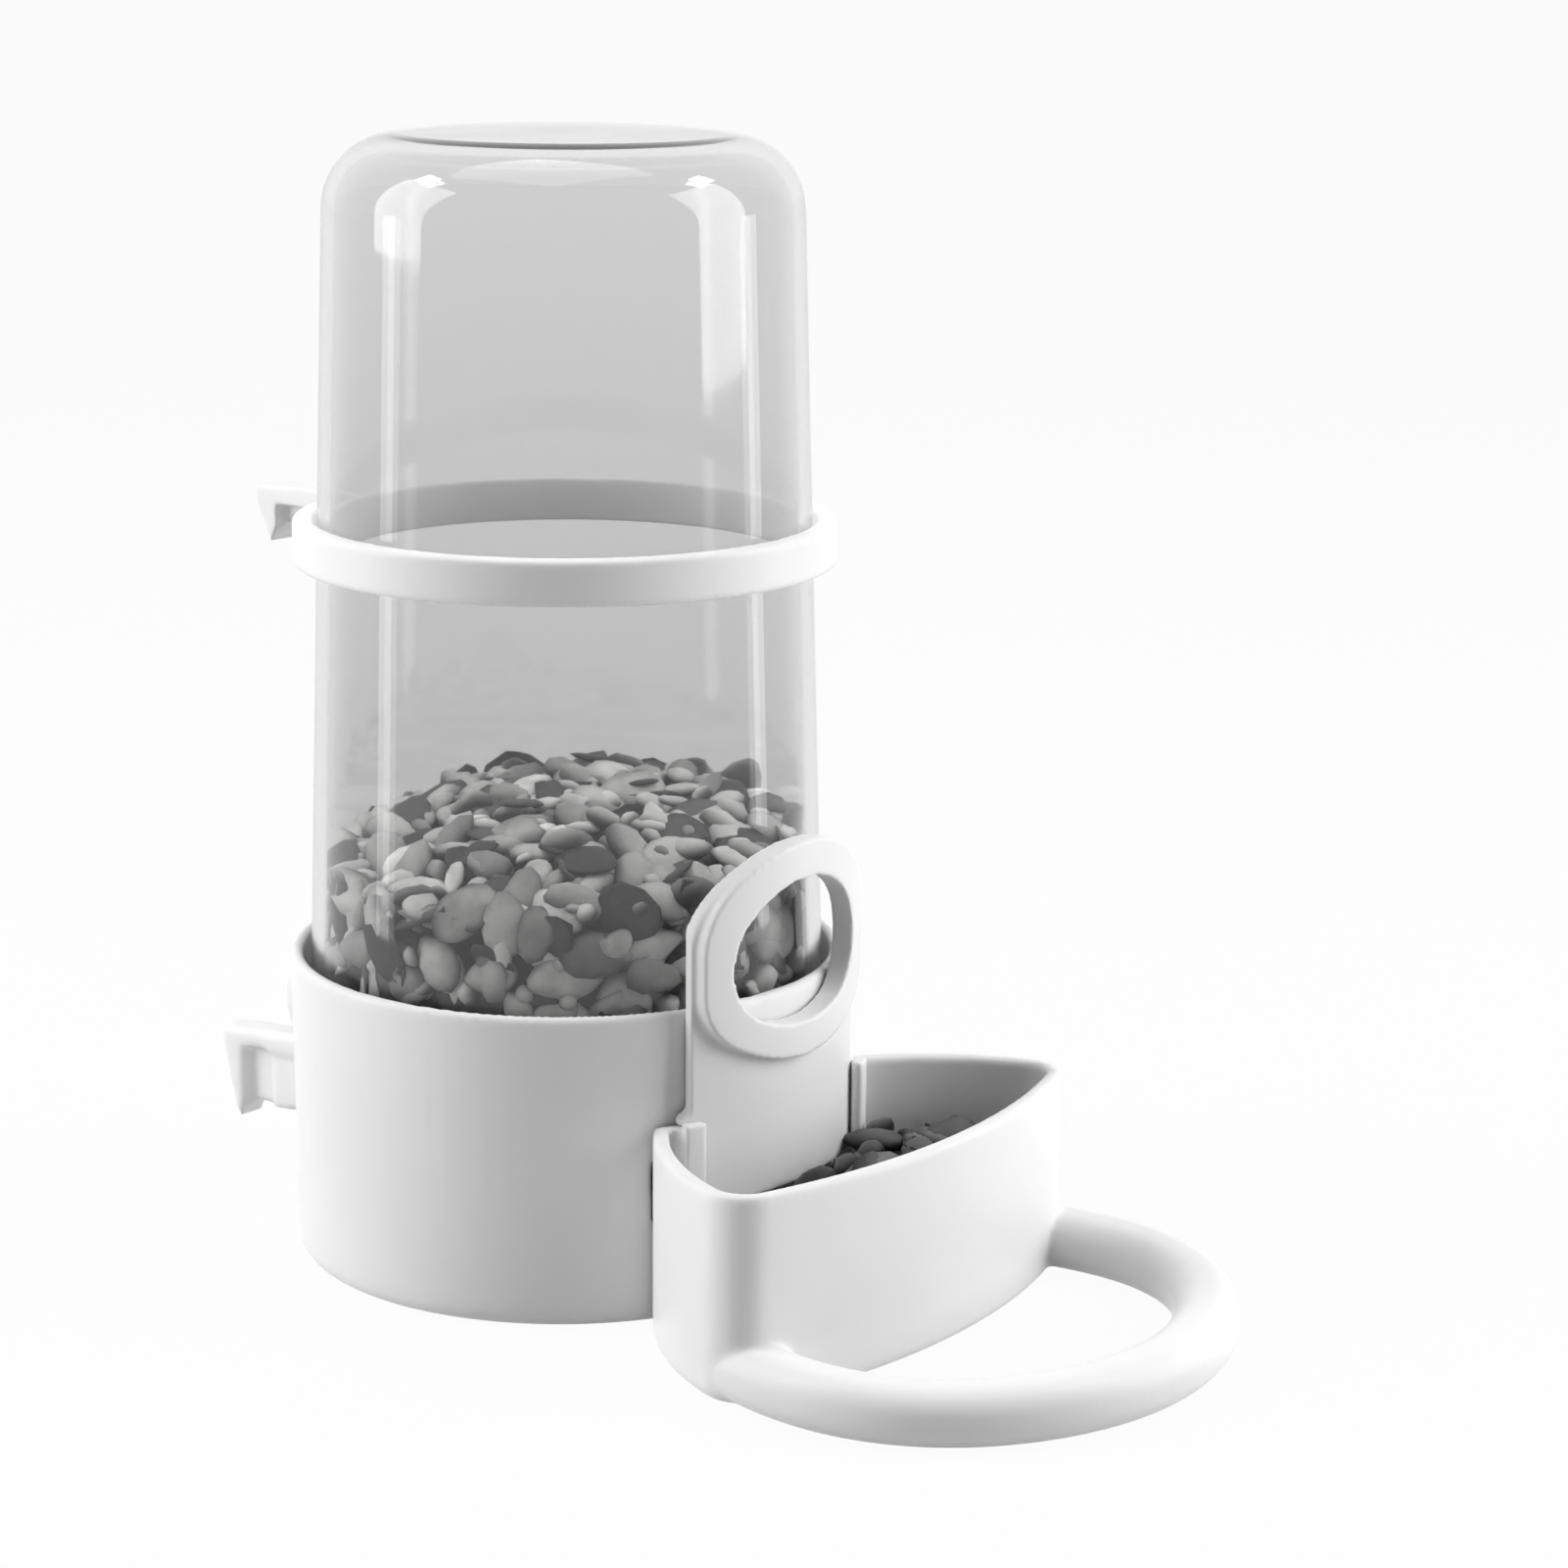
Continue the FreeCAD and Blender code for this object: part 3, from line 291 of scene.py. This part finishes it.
def smokyPlastic(v, low, high):
    material, tree, shader = newMaterial("smokyPlastic")
    where = node(tree, "ShaderNodeTexCoord", (-1300, 0))
    split = node(tree, "ShaderNodeSeparateXYZ", (-1100, 200))
    rise = node(tree, "ShaderNodeMapRange", (-900, 200))
    rise.inputs["From Min"].default_value, rise.inputs["From Max"].default_value = low, high
    shade = node(tree, "ShaderNodeValToRGB", (-650, 250))
    for stop, level in zip(shade.color_ramp.elements, (v["tintAndShadeLow"], v["tintHigh"])):
        stop.color = (level, level, level, 1)
    facing = node(tree, "ShaderNodeLayerWeight", (-900, 450))
    facing.inputs["Blend"].default_value = 0.5
    along = node(tree, "ShaderNodeMapRange", (-650, 500), interpolation_type="SMOOTHSTEP")
    along.inputs["From Min"].default_value, along.inputs["From Max"].default_value = v["edgeFrom"]
    # the smoky tint, with painted light mixed in where the wall turns edge-on
    tintAndEdgeLight = node(tree, "ShaderNodeMix", (-350, 300), data_type="RGBA")
    tintAndEdgeLight.inputs["B"].default_value = (v["paintedEdgeLight"],) * 3 + (1,)
    wave = node(tree, "ShaderNodeTexNoise", (-900, -250))
    wave.inputs["Scale"].default_value = v["wave"]
    bump = node(tree, "ShaderNodeBump", (-500, -250))
    bump.inputs["Strength"].default_value = v["waveStrength"]
    bump.inputs["Distance"].default_value = v["waveDepth"] * mm
    clear = node(tree, "ShaderNodeBsdfTransparent", (0, -300))
    path = node(tree, "ShaderNodeLightPath", (0, 300))
    mix = node(tree, "ShaderNodeMixShader", (300, 0))
    tree.links.new(where.outputs["Object"], split.inputs[0])
    tree.links.new(where.outputs["Object"], wave.inputs["Vector"])
    tree.links.new(split.outputs["Z"], rise.inputs["Value"])
    tree.links.new(rise.outputs[0], shade.inputs[0])
    tree.links.new(facing.outputs["Facing"], along.inputs["Value"])
    tree.links.new(along.outputs[0], tintAndEdgeLight.inputs["Factor"])
    tree.links.new(shade.outputs[0], tintAndEdgeLight.inputs["A"])
    tree.links.new(tintAndEdgeLight.outputs["Result"], shader.inputs["Base Color"])
    tree.links.new(shade.outputs[0], clear.inputs["Color"])
    tree.links.new(wave.outputs[0], bump.inputs["Height"])
    tree.links.new(bump.outputs[0], shader.inputs["Normal"])
    tree.links.new(path.outputs["Is Shadow Ray"], mix.inputs[0])
    tree.links.new(shader.outputs[0], mix.inputs[1])
    tree.links.new(clear.outputs[0], mix.inputs[2])
    tree.links.new(mix.outputs[0], tree.nodes["Material Output"].inputs["Surface"])
    shader.inputs["Transmission Weight"].default_value = 1.0
    shader.inputs["IOR"].default_value = v["bending"]
    shader.inputs["Roughness"].default_value = v["roughness"]
    return material


seedLook = {
    "fleck": 260.0,  # flecks per metre
    "fleckDetail": 4,
    "fleckEdges": (0.3, 0.7),
    "fleckShades": (0.62, 1.12),
    "paintedShadeEdges": (0.25, 0.95),  # painted shade, from a grain's underside to its top
    "paintedShadeLevels": (0.06, 1.0),
    "blue": 0.98,
    "roughness": 0.55,
    "bumpDepth": 0.12,
    "bumpStrength": 0.6,
}


# dry seed: each grain has its own shade, broken up by fine flecks, and painted shade darkens each grain
# towards its underside
def seedFinish(name, shades, fleck=seedLook["fleck"], roughness=seedLook["roughness"]):
    v = seedLook
    material, tree, shader = newMaterial(name)
    own = node(tree, "ShaderNodeAttribute", (-900, 250), attribute_name="grainShade")
    shade = node(tree, "ShaderNodeValToRGB", (-700, 250))
    for stop, level in zip(shade.color_ramp.elements, shades):
        stop.color = (level, level, level * v["blue"], 1)
    where = node(tree, "ShaderNodeTexCoord", (-1100, -100))
    spots = node(tree, "ShaderNodeTexNoise", (-900, -100))
    spots.inputs["Scale"].default_value = fleck
    spots.inputs["Detail"].default_value = v["fleckDetail"]
    depth = node(tree, "ShaderNodeMapRange", (-700, -100))
    depth.inputs["From Min"].default_value, depth.inputs["From Max"].default_value = v["fleckEdges"]
    depth.inputs["To Min"].default_value, depth.inputs["To Max"].default_value = v["fleckShades"]
    tinted = node(tree, "ShaderNodeVectorMath", (-400, 200), operation="SCALE")
    undersideMask = node(tree, "ShaderNodeAttribute", (-900, 500), attribute_name="grainTop")
    # painted shade: each grain drawn darker towards its underside
    undersideShade = node(tree, "ShaderNodeMapRange", (-700, 500), interpolation_type="SMOOTHSTEP")
    undersideShade.inputs["From Min"].default_value, undersideShade.inputs["From Max"].default_value = v["paintedShadeEdges"]
    undersideShade.inputs["To Min"].default_value, undersideShade.inputs["To Max"].default_value = v["paintedShadeLevels"]
    both = node(tree, "ShaderNodeMath", (-550, 350), operation="MULTIPLY")
    bump = node(tree, "ShaderNodeBump", (-400, -250))
    bump.inputs["Strength"].default_value = v["bumpStrength"]
    bump.inputs["Distance"].default_value = v["bumpDepth"] * mm
    tree.links.new(own.outputs["Fac"], shade.inputs[0])
    tree.links.new(where.outputs["Object"], spots.inputs["Vector"])
    tree.links.new(spots.outputs[0], depth.inputs["Value"])
    tree.links.new(shade.outputs[0], tinted.inputs[0])
    tree.links.new(undersideMask.outputs["Fac"], undersideShade.inputs["Value"])
    tree.links.new(undersideShade.outputs[0], both.inputs[0])
    tree.links.new(depth.outputs[0], both.inputs[1])
    tree.links.new(both.outputs[0], tinted.inputs["Scale"])
    tree.links.new(tinted.outputs[0], shader.inputs["Base Color"])
    tree.links.new(spots.outputs[0], bump.inputs["Height"])
    tree.links.new(bump.outputs[0], shader.inputs["Normal"])
    shader.inputs["Roughness"].default_value = roughness
    return material


whiteFinish = whitePlastic(whiteLook)


# Moulded white pieces: the frame's own forms with the soft edges of a moulding

softenShare = 0.5  # how far one smoothing pass moves a corner

mouldings = {
    "base_cup": {"piece": "cupMoulding", "body": "base", "voxel": 0.56, "soften": 3},
    "tray": {"piece": "trayMoulding", "body": "tray", "voxel": 0.40, "soften": 4},
    "gate": {"piece": "gateMoulding", "body": "gate", "voxel": 0.24, "soften": 6},
    "bottle_ring": {"piece": "ringMoulding", "body": "ring", "voxel": 0.30, "soften": 3},
}


def makeMoulding(nodeName, v):
    thing = addObject(v["piece"], mergedCopy(nodeName, v["piece"]))
    skin = thing.modifiers.new("skin", "REMESH")
    skin.mode = "VOXEL"
    skin.voxel_size = v["voxel"] * mm
    soften = thing.modifiers.new("soften", "SMOOTH")
    soften.factor, soften.iterations = softenShare, v["soften"]
    applied(thing)
    thing.data.shade_smooth()
    thing.data.materials.append(whiteFinish)
    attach(thing, v["body"])
    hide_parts(nodeName)
    print(v["piece"], "has", len(thing.data.polygons), "faces")


for nodeName, v in mouldings.items():
    makeMoulding(nodeName, v)


# Bottle

bottleForm = {
    "mouthRadius": 30.5,
    "shoulderRadius": 27.3,
    "wall": 1.5,
    "corner": 8.75,  # round between side and top, outside
    "dome": 0.6,
    "steps": 192,
    "sideSteps": 24,
    "domeSteps": 10,
    "sharp": 50,  # degrees past which an edge is drawn sharp
}


# a line to a corner and on to an end, with the corner rounded
def roundedProfile(start, corner, end, radius, steps=14):
    back, ahead = (start - corner).normalized(), (end - corner).normalized()
    half = math.acos(max(-1, min(1, back.dot(ahead)))) / 2
    reach = radius / math.tan(half)
    centre = corner + (back + ahead).normalized() * radius / math.sin(half)
    first, last = corner + back * reach - centre, corner + ahead * reach - centre
    sweep = math.atan2(first.x * last.y - first.y * last.x, first.dot(last))
    points = [start]
    for step in range(steps + 1):
        turn = sweep * step / steps
        c, s = math.cos(turn), math.sin(turn)
        points.append(centre + Vector((first.x * c - first.y * s, first.x * s + first.y * c)))
    return points + [end]


# turns (radius, height) points about Z. A point on the axis closes the form
def lathe(name, profile, steps):
    bm = bmesh.new()
    rings = []
    for radius, height in profile:
        count = 1 if radius < 1e-9 else steps
        rings.append([bm.verts.new((radius * math.cos(math.tau * n / steps),
                                    radius * math.sin(math.tau * n / steps), height)) for n in range(count)])
    for lower, upper in zip(rings, rings[1:]):
        for n in range(steps):
            corners = [lower[n % len(lower)], lower[(n + 1) % len(lower)],
                       upper[(n + 1) % len(upper)], upper[n % len(upper)]]
            face = list(dict.fromkeys(corners))
            if len(face) > 2:
                bm.faces.new(face)
    bmesh.ops.recalc_face_normals(bm, faces=bm.faces)
    return meshFrom(name, bm)


def bottleInside(heights):  # inner radius of the bottle at some heights, in metres
    v = bottleForm
    low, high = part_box("bottle")
    share = (heights - low.z) / (high.z - v["dome"] * mm - low.z)
    return (v["mouthRadius"] + (v["shoulderRadius"] - v["mouthRadius"]) * share - v["wall"]) * mm


def makeBottle(v):
    low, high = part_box("bottle")
    flat = high.z - v["dome"] * mm

    def shell(less, top):
        side = Vector(((v["mouthRadius"] - less) * mm, low.z))
        corner = Vector(((v["shoulderRadius"] - less) * mm, top))
        points = roundedProfile(side, corner, Vector((0.0, top)), (v["corner"] - less) * mm)
        crown = points[-2]
        inward = [Vector((crown.x * (1 - n / v["domeSteps"]), top)) for n in range(1, v["domeSteps"] + 1)]
        domed = [p + Vector((0, v["dome"] * mm * (1 - (p.x / crown.x) ** 2))) for p in inward]
        heights = [side + (points[1] - side) * n / v["sideSteps"] for n in range(1, v["sideSteps"])]
        return [side] + heights + points[1:-1] + domed

    outer, inner = shell(0, flat), shell(v["wall"], flat - v["wall"] * mm)
    thing = addObject("bottleMoulding", lathe("bottleMoulding", outer[::-1] + inner, v["steps"]))
    thing.data.shade_smooth()
    thing.data.materials.append(smokyPlastic(smokyLook, smokyLook["shadeStart"] * mm, high.z))
    edge = thing.modifiers.new("edge", "EDGE_SPLIT")
    edge.split_angle = math.radians(v["sharp"])
    applied(thing)
    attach(thing, "bottle")
    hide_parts("bottle")
    print("bottle has", len(thing.data.polygons), "faces")


makeBottle(bottleForm)


# Seed

seedMix = {
    "kernel": {"size": (8.2, 5.8, 3.2), "spacing": 5.0, "taper": 0.35, "crease": 0.0, "rough": 0.05,
               "shades": (0.26, 0.70), "tilt": 26},
    "oat": {"size": (8.8, 3.2, 2.5), "spacing": 5.6, "taper": 0.75, "crease": 0.25, "rough": 0.02,
            "shades": (0.34, 0.78), "tilt": 22},
    "millet": {"size": (3.6, 3.2, 2.9), "spacing": 4.2, "taper": 0.1, "crease": 0.0, "rough": 0.03,
               "shades": (0.20, 0.64), "tilt": 60},
    "grit": {"size": (8.0, 6.2, 4.2), "spacing": 6.6, "taper": 0.1, "crease": 0.0, "rough": 0.16,
             "shades": (0.15, 0.56), "tilt": 45},
    "flake": {"size": (10.4, 7.2, 1.1), "spacing": 8.0, "taper": 0.2, "crease": 0.0, "rough": 0.18,
              "shades": (0.012, 0.10), "tilt": 30},
    "husk": {"size": (9.8, 5.6, 1.2), "spacing": 14.0, "taper": 0.2, "crease": 0.0, "rough": 0.12,
             "shades": (0.008, 0.05), "tilt": 18, "lift": 2.2},  # lies higher than the others
}

grainForm = {
    "subdivisions": 2,
    "waves": (2, 3),  # swells round a grain
    "swell": (0.4, 1.0),
    "creaseWidth": 0.12,
}

grainSpread = {
    "most": 1.2e5,  # per square metre, before the spacing thins them
    "smallest": 0.62,
    "largest": 1.16,
    "firstDraw": 3,
    "drawStep": 7,
    "modelDraw": 11,
}

paintedShadeCore = {  # the dark bed under the grains: painted shade standing for the seed deeper in the heap
    "shades": (0.03, 0.06),
    "fleck": 420.0,
    "roughness": 0.8,
    "inset": 1.6,
    "lower": 1.4,
}


def makeGrain(name, v, seed):  # one grain lying flat, long way along X
    rng = np.random.default_rng(seed)
    long, wide, thick = v["size"]
    bm = bmesh.new()
    bmesh.ops.create_icosphere(bm, subdivisions=grainForm["subdivisions"], radius=0.5)
    swells = [(wave, v["rough"] * rng.uniform(*grainForm["swell"]) / wave ** 0.5, rng.uniform(0, math.tau))
              for wave in grainForm["waves"]]
    for vert in bm.verts:
        x, y, z = vert.co
        narrow = 1 - v["taper"] * max(0.0, 2 * x) ** 1.5
        around = math.atan2(y, x)
        lump = 1 + sum(size * math.sin(wave * around + start + 3 * z) for wave, size, start in swells)
        groove = 1 - v["crease"] * math.exp(-(y / grainForm["creaseWidth"]) ** 2) * (z > 0)
        vert.co = Vector((x * long, y * wide * narrow, z * thick * narrow * groove)) * lump * mm
    thing = addObject(name, meshFrom(name, bm))
    thing.data.shade_smooth()
    # each point's height share in its grain, which the seed finish turns into painted shade
    rises = [vert.co.z for vert in thing.data.vertices]
    least, most = min(rises), max(rises)
    top = thing.data.attributes.new("grainTop", "FLOAT", "POINT")
    top.data.foreach_set("value", [(rise - least) / (most - least) for rise in rises])
    return thing


# grains scattered over a surface, lying on it with a little tilt, each with its own shade
def grainTree():
    tree = bpy.data.node_groups.new("scatterGrains", "GeometryNodeTree")
    plan = tree.interface
    plan.new_socket("Geometry", in_out="OUTPUT", socket_type="NodeSocketGeometry")
    kinds = {"Surface": "Geometry", "Grain": "Object", "Spacing": "Float", "Most": "Float",
             "Smallest": "Float", "Largest": "Float", "Tilt": "Float", "Sink": "Float", "Seed": "Int",
             "Finish": "Material"}
    for label, kind in kinds.items():
        plan.new_socket(label, in_out="INPUT", socket_type=f"NodeSocket{kind}")
    start = node(tree, "NodeGroupInput", (-1200, 0))
    spread = node(tree, "GeometryNodeDistributePointsOnFaces", (-900, 200), distribute_method="POISSON")
    sinkBy = node(tree, "FunctionNodeRandomValue", (-900, -100), data_type="FLOAT")
    inward = node(tree, "ShaderNodeVectorMath", (-700, -100), operation="SCALE")
    settle = node(tree, "GeometryNodeSetPosition", (-500, 200))
    fetch = node(tree, "GeometryNodeObjectInfo", (-500, -50), transform_space="ORIGINAL")
    fetch.inputs["As Instance"].default_value = False
    least = node(tree, "ShaderNodeMath", (-1000, -320), operation="MULTIPLY")
    least.inputs[1].default_value = -1.0
    tiltLow = node(tree, "ShaderNodeCombineXYZ", (-800, -320))
    tiltHigh = node(tree, "ShaderNodeCombineXYZ", (-800, -480))
    tiltHigh.inputs["Z"].default_value = math.tau
    tiltBy = node(tree, "FunctionNodeRandomValue", (-600, -400), data_type="FLOAT_VECTOR")
    asTurn = node(tree, "FunctionNodeEulerToRotation", (-420, -400))
    turned = node(tree, "FunctionNodeRotateRotation", (-240, -300), rotation_space="LOCAL")
    grow = node(tree, "FunctionNodeRandomValue", (-420, -600), data_type="FLOAT")
    place = node(tree, "GeometryNodeInstanceOnPoints", (0, 200))
    brightness = node(tree, "FunctionNodeRandomValue", (0, -200), data_type="FLOAT")
    mark = node(tree, "GeometryNodeStoreNamedAttribute", (200, 200), data_type="FLOAT", domain="INSTANCE")
    mark.inputs["Name"].default_value = "grainShade"
    solid = node(tree, "GeometryNodeRealizeInstances", (400, 200))
    paint = node(tree, "GeometryNodeSetMaterial", (600, 200))
    end = node(tree, "NodeGroupOutput", (800, 200))

    def wire(source, target):
        tree.links.new(source, target)

    def valueOut(random):
        return next(s for s in random.outputs if s.enabled)

    def limits(random):
        ends = [s for s in random.inputs if s.enabled and s.name in ("Min", "Max")]
        return ends[0], ends[1], next(s for s in random.inputs if s.name == "Seed")

    wire(start.outputs["Surface"], spread.inputs["Mesh"])
    wire(start.outputs["Spacing"], spread.inputs["Distance Min"])
    wire(start.outputs["Most"], spread.inputs["Density Max"])
    wire(start.outputs["Seed"], spread.inputs["Seed"])
    wire(spread.outputs["Points"], settle.inputs["Geometry"])
    low, high, seedIn = limits(sinkBy)
    low.default_value = 0.0
    wire(start.outputs["Sink"], high)
    wire(start.outputs["Seed"], seedIn)
    wire(spread.outputs["Normal"], inward.inputs[0])
    wire(valueOut(sinkBy), inward.inputs["Scale"])
    wire(inward.outputs[0], settle.inputs["Offset"])
    wire(start.outputs["Grain"], fetch.inputs["Object"])
    wire(start.outputs["Tilt"], least.inputs[0])
    for axis in ("X", "Y"):
        wire(least.outputs[0], tiltLow.inputs[axis])
        wire(start.outputs["Tilt"], tiltHigh.inputs[axis])
    low, high, seedIn = limits(tiltBy)
    wire(tiltLow.outputs[0], low)
    wire(tiltHigh.outputs[0], high)
    wire(start.outputs["Seed"], seedIn)
    wire(valueOut(tiltBy), asTurn.inputs[0])
    wire(spread.outputs["Rotation"], turned.inputs["Rotation"])
    wire(asTurn.outputs[0], turned.inputs["Rotate By"])
    low, high, seedIn = limits(grow)
    wire(start.outputs["Smallest"], low)
    wire(start.outputs["Largest"], high)
    wire(start.outputs["Seed"], seedIn)
    wire(settle.outputs[0], place.inputs["Points"])
    wire(fetch.outputs["Geometry"], place.inputs["Instance"])
    wire(turned.outputs[0], place.inputs["Rotation"])
    wire(valueOut(grow), place.inputs["Scale"])
    wire(place.outputs[0], mark.inputs["Geometry"])
    wire(valueOut(brightness), mark.inputs["Value"])
    wire(mark.outputs[0], solid.inputs[0])
    wire(solid.outputs[0], paint.inputs["Geometry"])
    wire(start.outputs["Finish"], paint.inputs["Material"])
    wire(paint.outputs[0], end.inputs[0])
    return tree


def scatter(tree, carrier, name, values):  # runs the tree over a carrier mesh and gives back a plain mesh
    thing = addObject(name, carrier)
    grains = thing.modifiers.new("grains", "NODES")
    grains.node_group = tree
    for item in tree.interface.items_tree:
        if item.in_out == "INPUT" and item.name in values:
            grains[item.identifier] = values[item.name]
    return applied(thing)


bottleSeedForm = {
    "back": 51.5,  # heights of the seed at the wall, as seen from the camera
    "front": 47.0,
    "left": 48.0,
    "right": 51.5,
    "mound": 3.2,  # how much higher it is in the middle
    "gap": 0.9,  # clear of the bottle's wall
    "clear": 0.2,  # the least that a grain stays off that wall
    "low": 24.0,
    "spokes": 72,
    "rings": 14,
}


def bottleSeedSurface(v, name, inset, lower):  # a column with a sloping mound on top, inside the bottle
    toCamera = Vector((cameraView["place"][0], cameraView["place"][1])).normalized()
    toRight = Vector((-toCamera.y, toCamera.x))

    def heightAt(x, y, share):
        ahead, aside = (x * toCamera.x + y * toCamera.y), (x * toRight.x + y * toRight.y)
        edge = (v["front"] + v["back"] + v["left"] + v["right"]) / 4
        slope = ahead * (v["front"] - v["back"]) / 2 + aside * (v["right"] - v["left"]) / 2
        return (edge + slope * share + v["mound"] * (1 - share ** 2) - lower) * mm

    bm = bmesh.new()
    spokes, rings = v["spokes"], v["rings"]
    inner = bottleInside(v["back"] * mm) - (v["gap"] + inset) * mm
    centre = bm.verts.new((0, 0, heightAt(0, 0, 0)))
    hoops = []
    for ring in range(1, rings + 1):
        share = ring / rings
        turns = [math.tau * n / spokes for n in range(spokes)]
        hoops.append([bm.verts.new((inner * share * math.cos(a), inner * share * math.sin(a),
                                    heightAt(math.cos(a), math.sin(a), share))) for a in turns])
    hoops.append([bm.verts.new((vert.co.x, vert.co.y, v["low"] * mm)) for vert in hoops[-1]])
    for n in range(spokes):
        after = (n + 1) % spokes
        bm.faces.new((centre, hoops[0][n], hoops[0][after]))
        for inside, outside in zip(hoops, hoops[1:]):
            bm.faces.new((inside[n], outside[n], outside[after], inside[after]))
    return meshFrom(name, bm)


def traySeedSurface(v, name, inset, lower):  # the tray's seed solid above a height, drawn in from the walls
    low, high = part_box("tray_seed")
    middle = (low + high) / 2
    bm = bmesh.new()
    bm.from_mesh(mergedCopy("tray_seed", name))
    bmesh.ops.bisect_plane(bm, geom=bm.verts[:] + bm.edges[:] + bm.faces[:], plane_co=(0, 0, v["low"] * mm),
                           plane_no=(0, 0, 1), clear_inner=True)
    for vert in bm.verts:
        share = 1 - (v["gap"] + inset) * mm / ((high.x - low.x) / 2)
        vert.co.x = middle.x + (vert.co.x - middle.x) * share
        vert.co.y = middle.y + (vert.co.y - middle.y) * share
        vert.co.z -= lower * mm
    return meshFrom(name, bm)


traySeedForm = {"gap": 5.0, "low": 9.0}


def keepInside(mesh, radiusAt, gap):  # presses grains that reach past a round wall back against it
    spots = np.empty(len(mesh.vertices) * 3)
    mesh.vertices.foreach_get("co", spots)
    spots = spots.reshape(-1, 3)
    out = np.hypot(spots[:, 0], spots[:, 1])
    most = radiusAt(spots[:, 2]) - gap
    share = np.minimum(1.0, most / np.maximum(out, 1e-9))
    spots[:, :2] *= share[:, None]
    mesh.vertices.foreach_set("co", spots.ravel())
    mesh.update()


seedBeds = {
    "seed_fill": {"body": "base", "prefix": "bottle", "surface": bottleSeedSurface, "form": bottleSeedForm,
                  "sink": -1.2, "brightness": 1.0},
    # the tray's seed is the same mix drawn darker: painted shade
    "tray_seed": {"body": "tray", "prefix": "tray", "surface": traySeedSurface, "form": traySeedForm,
                  "sink": -0.8, "brightness": 0.36},
}


def makeSeedBed(nodeName, v, tree):
    name = v["prefix"] + "SeedCore"
    core = addObject(name, v["surface"](v["form"], name, paintedShadeCore["inset"], paintedShadeCore["lower"]))
    # the core's near-black colour is painted shade
    core.data.materials.append(seedFinish(v["prefix"] + "SeedPaintedShade", paintedShadeCore["shades"],
                                          paintedShadeCore["fleck"], paintedShadeCore["roughness"]))
    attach(core, v["body"])
    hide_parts(nodeName)
    for number, (kind, grain) in enumerate(seedMix.items()):
        name = v["prefix"] + kind.capitalize()
        model = makeGrain(kind + "Model", grain, grainSpread["modelDraw"] + number)
        finish = seedFinish(name + "Finish", [shade * v["brightness"] for shade in grain["shades"]])
        bed = v["surface"](v["form"], name, 0.0, 0.0)
        thing = scatter(tree, bed, name, {
            "Grain": model, "Spacing": grain["spacing"] * mm, "Most": grainSpread["most"],
            "Smallest": grainSpread["smallest"], "Largest": grainSpread["largest"],
            "Tilt": math.radians(grain["tilt"]), "Sink": (v["sink"] + grain.get("lift", 0)) * mm,
            "Seed": grainSpread["firstDraw"] + grainSpread["drawStep"] * number, "Finish": finish})
        bpy.data.objects.remove(model)
        if nodeName == "seed_fill":
            keepInside(thing.data, bottleInside, bottleSeedForm["clear"] * mm)
        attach(thing, v["body"])
        print(thing.name, "has", len(thing.data.polygons), "faces")


seedTree = grainTree()
for nodeName, v in seedBeds.items():
    makeSeedBed(nodeName, v, seedTree)
